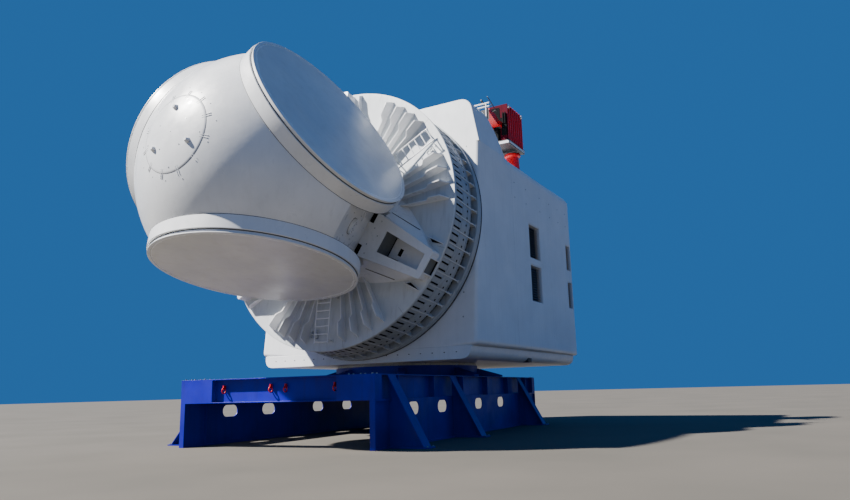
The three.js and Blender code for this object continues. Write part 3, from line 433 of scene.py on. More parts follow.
def settled(name, mesh, body, paint, matrix=None, stands_for=(), smooth=32, even=False):
    """Makes a finished piece of a mesh: it sits at the origin, has one finish and rides on its body."""
    if matrix is not None:
        mesh.transform(matrix)
    mesh.materials.clear()
    mesh.materials.append(FINISHES[paint][0]())
    mesh.shade_smooth()
    mesh.set_sharp_from_angle(angle=math.radians(smooth))
    if even:
        mesh = evened(mesh)
    mesh.name = name
    made = bpy.data.objects.new(name, mesh)
    bpy.context.scene.collection.objects.link(made)
    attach(made, body)
    if stands_for:
        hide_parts(*stands_for)
    return made


def outward_mesh(name, bm):
    """A mesh of a bmesh, its faces pointing outwards."""
    bmesh.ops.recalc_face_normals(bm, faces=bm.faces)
    mesh = bpy.data.meshes.new(name)
    bm.to_mesh(mesh)
    bm.free()
    return mesh


def piece(name, bm, body, paint, matrix=None, stands_for=(), smooth=32, even=False):
    """Turns a bmesh into a finished piece."""
    return settled(name, outward_mesh(name, bm), body, paint, matrix, stands_for, smooth, even)


# Shapes


def slab(bm, low, high, matrix=None):
    """Adds a box between two corners."""
    size = [h - l for l, h in zip(low, high)]
    middle = [(h + l) / 2 for l, h in zip(low, high)]
    place = move(*middle) @ Matrix.Diagonal((*size, 1))
    bmesh.ops.create_cube(bm, size=1, matrix=(matrix or Matrix()) @ place)


def boxes(corners, matrix=None):
    """A bmesh of boxes, each between two corners."""
    bm = bmesh.new()
    for low, high in corners:
        slab(bm, low, high, matrix)
    return bm


def plate(bm, outline, low, high, matrix=None):
    """Adds a flat plate: its outline is in (across, outwards), its faces lie at two heights along X."""
    matrix = matrix or Matrix()
    near, far = [[bm.verts.new(matrix @ Vector((x, y, z))) for y, z in outline] for x in (low, high)]
    bm.faces.new(near)
    bm.faces.new(reversed(far))
    for i in range(len(outline)):
        bm.faces.new((near[i], near[i - 1], far[i - 1], far[i]))


def prism(bm, outline, thickness, matrix=None):
    """Adds a flat plate: its outline lies in the local X-Z plane and its thickness is centred along Y."""
    flat = [(-x, z) for x, z in outline]
    plate(bm, flat, -thickness / 2, thickness / 2, (matrix or Matrix()) @ turn(90, "Z"))


def lathe(bm, profile, segments, matrix=None):
    """Adds a profile of (along, radius) points turned about the local X axis. It closes on itself."""
    matrix = matrix or Matrix()
    rows = []
    for along, radius in profile:
        if radius == 0:
            rows.append([bm.verts.new(matrix @ Vector((along, 0, 0)))] * segments)
        else:
            rows.append([bm.verts.new(matrix @ Vector(p)) for p in circle(radius, along, segments)])
    for k in range(len(rows)):
        near, far = rows[k - 1], rows[k]
        for i in range(segments):
            corners = list(dict.fromkeys([near[i - 1], near[i], far[i], far[i - 1]]))
            if len(corners) > 2:
                bm.faces.new(corners)


def turned(profile, segments, matrix=None):
    """A bmesh of one turned profile."""
    bm = bmesh.new()
    lathe(bm, profile, segments, matrix)
    return bm


def hoop(bm, ends, radii, segments):
    """Adds a ring between two places along the axis and two radii."""
    (near, far), (inner, outer) = ends, radii
    lathe(bm, [(near, inner), (near, outer), (far, outer), (far, inner)], segments)


def circle(radius, along, segments):
    """Points on a circle about the local X axis."""
    steps = [2 * math.pi * i / segments for i in range(segments)]
    return [(along, radius * math.sin(t), radius * math.cos(t)) for t in steps]


def cut_off(bm, point, normal):
    """Cuts away what lies beyond a plane and closes the cut."""
    everything = [*bm.verts, *bm.edges, *bm.faces]
    found = bmesh.ops.bisect_plane(
        bm, geom=everything, plane_co=point, plane_no=normal, clear_outer=True, dist=1e-5
    )
    edges = [item for item in found["geom_cut"] if isinstance(item, bmesh.types.BMEdge)]
    bmesh.ops.holes_fill(bm, edges=edges)


def sharp_edges(bm, angle=40):
    """Edges whose two faces meet at more than an angle."""
    return [e for e in bm.edges if e.is_manifold and e.calc_face_angle(0) > math.radians(angle)]


def soften(bm, edges, width, segments=2):
    """Rounds edges to a width."""
    way = {"offset_type": "OFFSET", "affect": "EDGES", "clamp_overlap": True}
    bmesh.ops.bevel(bm, geom=edges, offset=width, segments=segments, profile=0.5, **way)


def joined(node):
    """A bmesh of a CAD node, its triangles joined up to faces."""
    bm = bmesh.new()
    bm.from_mesh(frame["nodes"][node].data)
    bmesh.ops.remove_doubles(bm, verts=bm.verts, dist=0.0002)
    bmesh.ops.dissolve_limit(bm, angle_limit=math.radians(0.5), verts=bm.verts, edges=bm.edges)
    return bm


def refined(node, body, paint, edge, smooth=34, wide=None, wide_edge=0.0):
    """Stands for a CAD node with its own mesh, joined up, its edges rounded and its curves smooth.

    wide picks edges by their middle point that are rounded more than the rest.
    """
    bm = joined(node)
    if wide is not None:
        picked = [e for e in sharp_edges(bm) if wide((e.verts[0].co + e.verts[1].co) / 2)]
        soften(bm, picked, wide_edge, 6)
    soften(bm, sharp_edges(bm), edge)
    piece(f"{node}_shown", bm, body, paint, stands_for=[node], smooth=smooth, even=True)


# Geometry node groups for what repeats or follows a path


def group(name, **inputs):
    """A geometry node group with a geometry input and output, named numbers and a material."""
    tree = bpy.data.node_groups.new(name, "GeometryNodeTree")
    for way in ("OUTPUT", "INPUT"):
        tree.interface.new_socket("Geometry", in_out=way, socket_type="NodeSocketGeometry")
    for label, value in inputs.items():
        kind = "NodeSocketInt" if isinstance(value, int) else "NodeSocketFloat"
        tree.interface.new_socket(label, in_out="INPUT", socket_type=kind).default_value = value
    tree.interface.new_socket("Material", in_out="INPUT", socket_type="NodeSocketMaterial")
    return tree, add(tree, "NodeGroupInput").outputs


def close_group(tree, given, geometry):
    """Ends a group: instances are made real and get the group's material."""
    real = add(tree, "GeometryNodeRealizeInstances", links={0: geometry})
    links = {"Geometry": real, "Material": given["Material"]}
    add(tree, "NodeGroupOutput", links={0: add(tree, "GeometryNodeSetMaterial", links=links)})
    return tree


@cache
def repeat_group():
    """Repeats a part evenly about the X axis."""
    tree, given = group("Repeat about axis", Count=12, Start=0.0)
    points = add(tree, "GeometryNodePoints", links={"Count": given["Count"]})
    step = add(tree, "ShaderNodeMath", {0: 2 * math.pi}, {1: given["Count"]}, operation="DIVIDE")
    terms = {0: add(tree, "GeometryNodeInputIndex"), 1: step, 2: given["Start"]}
    angle = add(tree, "ShaderNodeMath", links=terms, operation="MULTIPLY_ADD")
    about = add(tree, "ShaderNodeCombineXYZ", links={"X": angle})
    rotation = add(tree, "FunctionNodeEulerToRotation", links={0: about})
    links = {"Points": points, "Instance": given["Geometry"], "Rotation": rotation}
    return close_group(tree, given, add(tree, "GeometryNodeInstanceOnPoints", links=links))


@cache
def bolt_group():
    """Puts a hexagon bolt with a washer on every point, its head along the point's aim attribute."""
    tree, given = group("Bolts on points", Width=0.05, Height=0.03)
    shares = (("Width", 0.5), ("Width", 0.85), ("Height", 0.25), ("Height", 0.5))
    half, wide, thin, lift = [
        add(tree, "ShaderNodeMath", {1: share}, {0: given[size]}, operation="MULTIPLY")
        for size, share in shares
    ]
    sizes = {"Radius": half, "Depth": given["Height"]}
    head = add(tree, "GeometryNodeMeshCylinder", {"Vertices": 6}, sizes)
    up = add(tree, "ShaderNodeCombineXYZ", links={"Z": lift})
    head = add(tree, "GeometryNodeTransform", links={"Geometry": head, "Translation": up})
    washer = add(tree, "GeometryNodeMeshCylinder", {"Vertices": 16}, {"Radius": wide, "Depth": thin})
    both = add(tree, "GeometryNodeJoinGeometry", links={0: head})
    tree.links.new(washer.outputs[0], both.inputs[0])
    aim = add(tree, "GeometryNodeInputNamedAttribute", {"Name": "aim"}, data_type="FLOAT_VECTOR")
    upright = add(tree, "FunctionNodeAlignRotationToVector", links={"Vector": aim}, axis="Z")
    chance = {2: 0.0, 3: math.pi, "Seed": 7}
    twist = add(tree, "FunctionNodeRandomValue", chance, data_type="FLOAT").outputs[1]
    about = add(tree, "ShaderNodeCombineXYZ", links={"Z": twist})
    about = add(tree, "FunctionNodeEulerToRotation", links={0: about})
    turns = {0: upright, 1: about}
    rotation = add(tree, "FunctionNodeRotateRotation", links=turns, rotation_space="LOCAL")
    links = {"Points": given["Geometry"], "Instance": both, "Rotation": rotation}
    return close_group(tree, given, add(tree, "GeometryNodeInstanceOnPoints", links=links))


@cache
def tube_group():
    """Runs a round bar or weld bead along the edges of a mesh."""
    tree, given = group("Bar along edges", Radius=0.02, Sides=12, Unevenness=0.0)
    path = add(tree, "GeometryNodeMeshToCurve", links={0: given["Geometry"]})
    place = add(tree, "GeometryNodeInputPosition")
    wobble = add(tree, "ShaderNodeTexNoise", {"Scale": 40.0, "Detail": 1.0}, {"Vector": place}).outputs[1]
    centred = add(tree, "ShaderNodeVectorMath", {1: (0.5, 0.5, 0.5)}, {0: wobble}, operation="SUBTRACT")
    links = {0: centred, "Scale": given["Unevenness"]}
    offset = add(tree, "ShaderNodeVectorMath", links=links, operation="SCALE")
    path = add(tree, "GeometryNodeSetPosition", links={"Geometry": path, "Offset": offset})
    sizes = {"Resolution": given["Sides"], "Radius": given["Radius"]}
    section = add(tree, "GeometryNodeCurvePrimitiveCircle", links=sizes)
    links = {"Curve": path, "Profile Curve": section}
    return close_group(tree, given, add(tree, "GeometryNodeCurveToMesh", {"Fill Caps": True}, links))


@cache
def slat_group():
    """Stacks sloping louvre blades upwards from the origin."""
    tree, given = group("Louvre blades", Count=8, Pitch=0.1, Length=1.0, Depth=0.12, Slope=0.6)
    sizes = {"X": given["Length"], "Y": given["Depth"]}
    size = add(tree, "ShaderNodeCombineXYZ", {"Z": 0.006}, sizes)
    blade = add(tree, "GeometryNodeMeshCube", links={"Size": size})
    slope = add(tree, "ShaderNodeCombineXYZ", links={"X": given["Slope"]})
    rotation = add(tree, "FunctionNodeEulerToRotation", links={0: slope})
    terms = {0: add(tree, "GeometryNodeInputIndex"), 1: given["Pitch"]}
    rise = add(tree, "ShaderNodeMath", links=terms, operation="MULTIPLY")
    upwards = add(tree, "ShaderNodeCombineXYZ", links={"Z": rise})
    points = add(tree, "GeometryNodePoints", links={"Count": given["Count"], "Position": upwards})
    links = {"Points": points, "Instance": blade, "Rotation": rotation}
    return close_group(tree, given, add(tree, "GeometryNodeInstanceOnPoints", links=links))


def grown(mesh, grow, paint, **values):
    """Runs a geometry node group on a mesh and returns what it makes as a plain mesh."""
    tree = grow()
    carrier, modifier = carried(mesh, "NODES")
    modifier.node_group = tree
    values["Material"] = FINISHES[paint][0]()
    for item in tree.interface.items_tree:
        if item.in_out == "INPUT" and item.name in values:
            modifier[item.identifier] = values[item.name]
    made = plain_mesh(carrier)
    if not made.polygons:
        raise RuntimeError(f"{tree.name} made nothing")
    return made


def repeated(name, bm, number, body, paint, start=0.0):
    """A part repeated about the rotor axis, as one piece."""
    around = {"Count": number, "Start": math.radians(start)}
    made = grown(outward_mesh(name, bm), repeat_group, paint, **around)
    return settled(name, made, body, paint, ROTOR)


def bolted(name, places, width, height, body, paint="bolt", matrix=None):
    """Bolts at (point, aim) places, as one piece."""
    mesh = bpy.data.meshes.new(name)
    mesh.from_pydata([p for p, _ in places], [], [])
    aims = mesh.attributes.new("aim", "FLOAT_VECTOR", "POINT")
    aims.data.foreach_set("vector", [c for _, aim in places for c in aim])
    made = grown(mesh, bolt_group, paint, Width=width, Height=height)
    return settled(name, made, body, paint, matrix)


def barred(name, runs, radius, body, paint, matrix=None, sides=12, uneven=0.0, stands_for=()):
    """Round bars along runs of points. A run that ends where it starts is closed."""
    points, edges = [], []
    for run in runs:
        closed = (Vector(run[0]) - Vector(run[-1])).length < 1e-6
        kept = run[:-1] if closed else run
        first = len(points)
        points += kept
        edges += [(first + i, first + i + 1) for i in range(len(kept) - 1)]
        if closed:
            edges.append((len(points) - 1, first))
    mesh = bpy.data.meshes.new(name)
    mesh.from_pydata(points, edges, [])
    made = grown(mesh, tube_group, paint, Radius=radius, Sides=sides, Unevenness=uneven)
    return settled(name, made, body, paint, matrix, stands_for, smooth=50)


# Frames inside the rotor


def outward(angle):
    """Frame whose Z axis points outwards at an angle from up towards +Y; X stays along the rotor axis."""
    return ROTOR @ turn(-angle, "X")


def blade_frame(angle):
    """Frame of a blade: X along the blade axis, origin at the hub centre."""
    return ROTOR @ move(HUB_AHEAD, 0, 0) @ turn(-angle, "X") @ turn(CONE - 90, "Y")


def flat_frame(angle):
    """Frame of the leaning flat above an arm: Z along its normal, origin on the flat."""
    centre = ROTOR @ move(HUB_AHEAD, 0, 0)
    return centre @ turn(-angle, "X") @ turn(-FLAT_LEAN, "Y") @ move(0, 0, HUB_FLAT)


def dish_level(radius):
    """Height of the dish surface along the rotor axis."""
    slope = DISH_DEPTH / (LAND_R - FLANGE_R)
    return -min(DISH_DEPTH, max(0.0, (LAND_R - radius) * slope))


def arm_top(radius):
    """Height of the top of an arm along the rotor axis."""
    return 1.26 + (radius - 1.75) / 3.28 * (0.46 - 1.26)


# Hub


class HubSettings(bpy.types.PropertyGroup):
    """Details of the hub casting and its nose hatch."""

    rings: count("Rings", "Rings of the ball's mesh", 96)
    edge: length("Cast edge", "Rounding of the flats", 0.14)
    boss_length: length("Boss length", "Length of the raised boss on each flat", 0.72)
    boss_width: length("Boss width", "Width of the raised boss", 0.54)
    boss_height: length("Boss height", "Height of the raised boss", 0.11)
    hatch_radius: length("Hatch radius", "Radius of the nose hatch", 1.23)
    hatch_bolts: count("Hatch bolts", "Bolts on the hatch", 9)
    clips: count("Clips", "Clips across the hatch seam", 12)
    outer_fixings: count("Outer fixings", "Small fixings round the hatch", 14)


BOSS_PLACE = 0.96
# Fixings on a boss and on the flat beside it: towards the nose and across
BOSS_FIXINGS = ((1.12, -0.16), (1.18, -0.05), (1.18, 0.06), (1.12, 0.17), (1.03, -0.11), (1.03, 0.1))
FLAT_FIXINGS = (
    (0.42, -0.42), (0.42, 0.42), (0.3, 0.05), (0.12, -0.3), (0.12, 0.28), (1.55, -0.4), (1.55, 0.38),
)  # fmt: skip
HATCH_PROUD, HATCH_EDGE = 0.009, 0.006
HATCH_LUG_R, HATCH_LUG_TOP = 0.8, 7.915


def hub_ball(settings):
    """Ball of the hub, cut flat at its three blade ports and above its three arms, on its round foot."""
    bm = bmesh.new()
    flattened = Matrix.Diagonal((HUB_NOSE_R, HUB_R, HUB_R, 1))
    place = move(HUB_AHEAD, 0, 0) @ flattened @ turn(90, "Y")
    rings = settings.rings
    bmesh.ops.create_uvsphere(bm, u_segments=2 * rings, v_segments=rings, radius=1, matrix=place)
    unturned = ROTOR.inverted()
    for angle in ARMS:
        place = unturned @ flat_frame(angle)
        cut_off(bm, place.translation, place.col[2].to_3d())
    soften(bm, sharp_edges(bm, 20), settings.edge, 5)
    for angle in BLADES:
        place = unturned @ blade_frame(angle)
        cut_off(bm, place @ Vector((PORT_FACE, 0, 0)), place.col[0].to_3d())
    floor, step = GAP - DISH_DEPTH, 0.3
    cut_off(bm, Vector((floor, 0, 0)), Vector((-1, 0, 0)))
    foot = [(floor, 0), (floor, HUB_FOOT_R), (step - 0.03, HUB_FOOT_R), (step, HUB_FOOT_R - 0.03), (step, 0)]
    lathe(bm, foot, 144)
    return bm


def oblong(across, width):
    """Outline with round ends."""
    straight, radius = (across - width) / 2, width / 2
    steps = [math.pi * i / 12 for i in range(13)]
    right = [(straight + radius * math.sin(t), radius * math.cos(t)) for t in steps]
    return right + [(-u, -v) for u, v in right]


class OBJECT_OT_turbine_hub(bpy.types.Operator):
    """Builds the hub casting with the bosses on its flats"""

    bl_idname = "object.turbine_hub"
    bl_label = "Hub casting"

    def execute(self, context):
        settings = context.scene.turbine_hub
        piece("hub_casting_shown", hub_ball(settings), "rotor", "casting", ROTOR, ["hub_casting"], 24)
        across, width, height = settings.boss_length, settings.boss_width, settings.boss_height
        flat = move(BOSS_PLACE, 0, 0) @ turn(90, "X")
        bolts = []
        for i, angle in enumerate(ARMS):
            place = flat_frame(angle)
            boss, seal = bmesh.new(), bmesh.new()
            prism(boss, oblong(across, width), 2 * height, flat)
            soften(boss, sharp_edges(boss, 60), 0.018, 3)
            piece(f"hub_boss_{i + 1}", boss, "rotor", "casting", place)
            # A dark outline round the boss: painted shade along its edges
            prism(seal, oblong(across + 0.03, width + 0.03), 0.012, flat)
            piece(f"hub_boss_shade_outline_{i + 1}", seal, "rotor", "rubber", place)
            for level, fixings in ((height, BOSS_FIXINGS), (0, FLAT_FIXINGS)):
                bolts += [(place @ Vector((u, v, level)), place.col[2].to_3d()) for u, v in fixings]
        bolted("hub_boss_bolts", bolts, 0.032, 0.012, "rotor")
        return {"FINISHED"}


def nose_level(radius, proud=0.0):
    """Height along the rotor axis of the hub's nose at a radius."""
    return HUB_AHEAD + (HUB_NOSE_R + proud) * math.sqrt(1 - (radius / (HUB_R + proud)) ** 2)


def nose_aim(radius, angle, proud=HATCH_PROUD):
    """Point and direction on the nose at a radius and angle, in the rotor frame."""
    around = math.radians(angle)
    level = nose_level(radius, HATCH_PROUD)
    point = Vector((level, radius * math.sin(around), radius * math.cos(around)))
    aim = (point - Vector((HUB_AHEAD, 0, 0))).normalized()
    return point - (HATCH_PROUD - proud) * aim, aim


class OBJECT_OT_turbine_hatch(bpy.types.Operator):
    """Builds the nose hatch with its seam, lifting lugs, bolts and clips"""

    bl_idname = "object.turbine_hatch"
    bl_label = "Nose hatch"

    def execute(self, context):
        settings = context.scene.turbine_hub
        self.cap(settings.hatch_radius)
        self.gasket(settings.hatch_radius)
        number = settings.hatch_bolts
        places = [nose_aim(0.62 if i % 2 else 1.08, 20 + 360 * i / number) for i in range(number)]
        bolted("hatch_bolts", [nose_aim(0, 0), *places], 0.03, 0.01, "rotor", "bolt", ROTOR)
        self.clips(settings.hatch_radius, settings.clips)
        number = settings.outer_fixings
        places = [nose_aim(1.42 if i % 3 else 1.52, 8 + 360 * i / number, 0) for i in range(number)]
        bolted("hatch_outer_fixings", places, 0.03, 0.01, "rotor", "casting", ROTOR)
        return {"FINISHED"}

    def cap(self, reach):
        crown = [(nose_level(reach * i / 20, HATCH_PROUD), reach * i / 20) for i in range(20)]
        rim = nose_level(reach, HATCH_PROUD)
        edge = [(rim, reach - HATCH_EDGE), (rim - HATCH_EDGE, reach), (rim - 0.08, reach), (rim - 0.08, 0)]
        bm = turned(crown + edge, 120)
        base, top = nose_level(HATCH_LUG_R), HATCH_LUG_TOP
        lug = [(base, 0), (base, 0.095), (top - 0.01, 0.056), (top, 0.045), (top, 0)]
        for angle in ARMS:
            lathe(bm, lug, 24, turn(-angle, "X") @ move(0, 0, HATCH_LUG_R))
        piece("nose_hatch_shown", bm, "rotor", "casting", ROTOR, ["nose_hatch"], 30)

    def gasket(self, reach):
        level, outer = nose_level(reach, 0.004), reach + 0.009
        profile = [(level - 0.03, reach), (level, reach), (level - 0.002, outer), (level - 0.03, outer)]
        piece("hatch_gasket", turned(profile, 120), "rotor", "rubber", ROTOR)

    def clips(self, reach, number):
        slope = math.degrees(math.asin(reach / HUB_R))
        lean = move(nose_level(reach), 0, reach) @ turn(-slope, "Y")
        half = 0.006
        pair = [((-0.01, y - half, -0.13), (0.012, y + half, 0.16)) for y in (-0.035, 0.035)]
        repeated("hatch_clips", boxes(pair, lean), number, "rotor", "casting", 15)


# Blade ports


class PortSettings(bpy.types.PropertyGroup):
    """Details of the blade bearings and their transport covers."""

    segments: count("Segments", "Segments of each ring", 216)
    cover_radius: length("Cover radius", "Radius of a cover", 3.2)
    sag: length("Sag", "Height of the waves in a cover", 0.02)
    folds: count("Folds", "Tension folds round the edge", 54)
    fold_height: length("Fold height", "Height of the tension folds", 0.0035)
    ragged: length("Ragged", "How far the tape's inner edge wanders", 0.09)


COVER_LEVEL, TAPE_LEVEL = 3.1485, 3.1512
# Seals of a port: where they start and end along the blade axis, their inner and outer radius
PORT_SEALS = (
    ((3.0302, 3.052), (3.2701, 3.286)),
    ((3.13, 3.1515), (3.2, 3.205)),
    ((2.5985, 2.612), (3.34, 3.3425)),
)


def wave(y, z, seed):
    """Slow noise at a point of a cover."""
    return noise.noise(Vector((y, z, seed)))


def cover_mesh(settings, seed):
    """A round sheet with slow waves and short folds that die out inwards from its edge."""
    bm = bmesh.new()
    rings, segments, dip = 44, 180, 0.004
    rows = []
    for i in range(1, rings + 1):
        share = i / rings
        calm = min(1.0, (1 - share) * 5)
        rim = max(0.0, share * 4 - 3) * (1 - share) * 8
        row = []
        for _, y, z in circle(settings.cover_radius * share, 0, segments):
            swell = wave(y * 0.55, z * 0.55, seed) * settings.sag * calm
            fold = math.sin(math.atan2(y, z) * settings.folds + 3 * wave(y, z, seed)) * settings.fold_height
            row.append(bm.verts.new((COVER_LEVEL + swell + fold * rim - dip * calm, y, z)))
        rows.append(row)
    centre = bm.verts.new((COVER_LEVEL + wave(0, 0, seed) * settings.sag - dip, 0, 0))
    for k in range(segments):
        bm.faces.new((centre, rows[0][k], rows[0][k - 1]))
        for near, far in zip(rows, rows[1:]):
            bm.faces.new((near[k - 1], near[k], far[k], far[k - 1]))
    return bm


def tape_mesh(outer, seed, reach):
    """A ring of hand-laid tape whose inner edge wanders."""
    bm = bmesh.new()
    rows = [[], []]
    for _, y, z in circle(1, 0, 540):
        ragged = max(0.0, wave(y * 26, z * 26, seed)) * reach
        slow = max(0.0, wave(y * 2, z * 2, seed + 5)) * reach
        for row, radius in zip(rows, (outer - 0.03 - ragged - slow, outer)):
            row.append(bm.verts.new((TAPE_LEVEL, radius * y, radius * z)))
    inner, rim = rows
    for k in range(len(inner)):
        bm.faces.new((inner[k - 1], inner[k], rim[k], rim[k - 1]))
    return bm


class OBJECT_OT_turbine_ports(bpy.types.Operator):
    """Builds the three blade bearings with their seals and covers"""

    bl_idname = "object.turbine_ports"
    bl_label = "Blade ports"

    def execute(self, context):
        settings = context.scene.turbine_ports
        for i, angle in enumerate(BLADES):
            self.bearing(settings, i + 1, blade_frame(angle))
            self.cover(settings, i + 1, blade_frame(angle))
        return {"FINISHED"}

    def bearing(self, settings, number, place):
        back, front = PORT_FACE + GAP, PORT_FRONT
        profile = [
            (back, 0), (back, PORT_R - 0.01), (back + 0.01, PORT_R), (3.018, PORT_R), (3.03, 3.328),
            (3.03, 3.27), (3.125, 3.27), (3.125, 3.299), (3.131, 3.305), (front - 0.008, 3.305),
            (front, 3.297), (front, 3.2085), (front - 0.0032, 3.2053), (3.122, 3.2053), (3.122, 0),
        ]  # fmt: skip
        node = f"blade_bearing_{number}"
        bm = turned(profile, settings.segments)
        piece(f"{node}_shown", bm, "rotor", "casting", place, [node], 30)
        bm = bmesh.new()
        for ends, radii in PORT_SEALS:
            hoop(bm, ends, radii, settings.segments)
        piece(f"port_seals_{number}", bm, "rotor", "rubber", place)

    def cover(self, settings, number, place):
        node, radius = f"blade_cover_{number}", settings.cover_radius
        bm = cover_mesh(settings, number * 7.3)
        sheet = piece(f"{node}_shown", bm, "rotor", "cover", place, [node], 60)
        bm = tape_mesh(radius, number * 3.1, settings.ragged)
        piece(f"cover_tape_{number}", bm, "rotor", "tape", place)


# Dish, arms and ladders


class DishSettings(bpy.types.PropertyGroup):
    """Details of the dish, its fins, its arms and its ladders."""

    segments: count("Segments", "Segments of the dish", 240)
    fin_thickness: length("Fin thickness", "Thickness of a fin", 0.04)
    bead: length("Weld bead", "Radius of the weld beads", 0.012)
    flange_bolts: count("Flange bolts", "Bolts round the hub foot", 72)
    gusset: length("Gusset", "Height of the gussets beside the arm tips", 0.2)
    tip_edge: length("Tip edge", "Rounding of the arm tips' upright edges", 0.08)
    ladder_bar: length("Ladder bar", "Radius of the ladder bars", 0.024)


FIN_OFFSETS = (10.2, 17, 23.8, 30.5)
FIN_ROOT, FIN_STEP, FIN_END = 2.78, (4.06, 4.3), 4.93
FIN_LOW, FIN_HIGH, SUNK = 0.22, 0.42, 0.02


def fin_outline():
    """Fin from the side: low near the hub, a curved step up and a sloping outer end."""
    foot, (start, stop) = dish_level(FIN_ROOT), FIN_STEP
    points = [(foot - SUNK, FIN_ROOT), (foot + FIN_LOW - SUNK, FIN_ROOT)]
    points.append((dish_level(FIN_ROOT + 0.02) + FIN_LOW, FIN_ROOT + 0.02))
    for i in range(13):
        t = i / 12
        radius, rise = start + (stop - start) * t, t * t * (3 - 2 * t)
        points.append((dish_level(radius) + FIN_LOW + (FIN_HIGH - FIN_LOW) * rise, radius))
    points += [(FIN_HIGH, FIN_END - 0.21), (FIN_HIGH - 0.01, FIN_END - 0.18)]
    return points + [(0.01, FIN_END), (-SUNK, FIN_END)]


class OBJECT_OT_turbine_dish(bpy.types.Operator):
    """Builds the rotor dish with its fins, rim seams and flange bolts"""

    bl_idname = "object.turbine_dish"
    bl_label = "Rotor dish"

    def execute(self, context):
        settings = context.scene.turbine_dish
        back = DISH_DEPTH + DISH_SKIN
        profile = [
            (-DISH_DEPTH, 0), (-DISH_DEPTH, FLANGE_R), (0, LAND_R), (0, RIM_R - 0.012), (-0.012, RIM_R),
            (-DISH_SKIN, RIM_R), (-DISH_SKIN, LAND_R), (-back, FLANGE_R), (-back, 0),
        ]  # fmt: skip
        bm = turned(profile, settings.segments)
        piece("rotor_dish_shown", bm, "rotor", "dish", ROTOR, ["rotor_dish"], 28)
        self.fins(settings)
        places = [(p, (1, 0, 0)) for p in circle(2.02, 0.3, settings.flange_bolts)]
        bolted("flange_bolts", places, 0.07, 0.045, "rotor", "bolt", ROTOR)
        seam = boxes([((-0.001, -0.003, LAND_R), (0.0012, 0.003, RIM_R - 0.014))])
        repeated("rim_seams", seam, 12, "rotor", "rubber", 9)
        return {"FINISHED"}

    def fins(self, settings):
        bm = bmesh.new()
        beads = []
        thickness = settings.fin_thickness
        steps = [FIN_ROOT + 0.02 + i * 0.075 for i in range(29)]
        for blade in BLADES:
            for offset in FIN_OFFSETS:
                for angle in (blade + offset, blade - offset):
                    place = turn(-angle, "X")
                    prism(bm, fin_outline(), thickness, place)
                    for side in (-thickness / 2, thickness / 2):
                        beads.append([place @ Vector((dish_level(r) + 0.004, side, r)) for r in steps])
        soften(bm, sharp_edges(bm, 50), 0.006)
        piece("dish_fins", bm, "rotor", "casting", ROTOR, ["rotor_dish"], 28)
        barred("fin_welds", beads, settings.bead, "rotor", "casting", ROTOR, 6, 0.004)


ARM_FIXINGS = ((2.78, -0.3), (2.78, 0.32), (2.9, -0.62), (2.86, 0.64), (3.0, -0.1))
GUSSET_PLACE, LUG_PLACE = 0.9, 0.285
# Notch beside an arm, lined with painted shade: how far it reaches across and outwards, and its two heights
NOTCH_ACROSS, NOTCH_END, NOTCH_HEIGHTS = (0.434, 0.80), 2.6585, (0.45, 1.0)
# Joints of the skirts beside an arm: along the rotor axis, across and outwards
SKIRT_SEAMS = (
    ((0.396, -1.077, 2.66), (0.243, -1.028, 3.3), (0.09, -0.98, 3.88)),
    ((0.336, 1.122, 2.73), (0.215, 1.047, 3.31), (0.094, 0.974, 3.9)),
)


def pocket_half(radius):
    """Half width of a pocket at a radius, just inside its walls."""
    (r0, h0), (r1, h1) = POCKET_ROOT, POCKET_TIP
    return h0 + (radius - r0) / (r1 - r0) * (h1 - h0) - 0.004


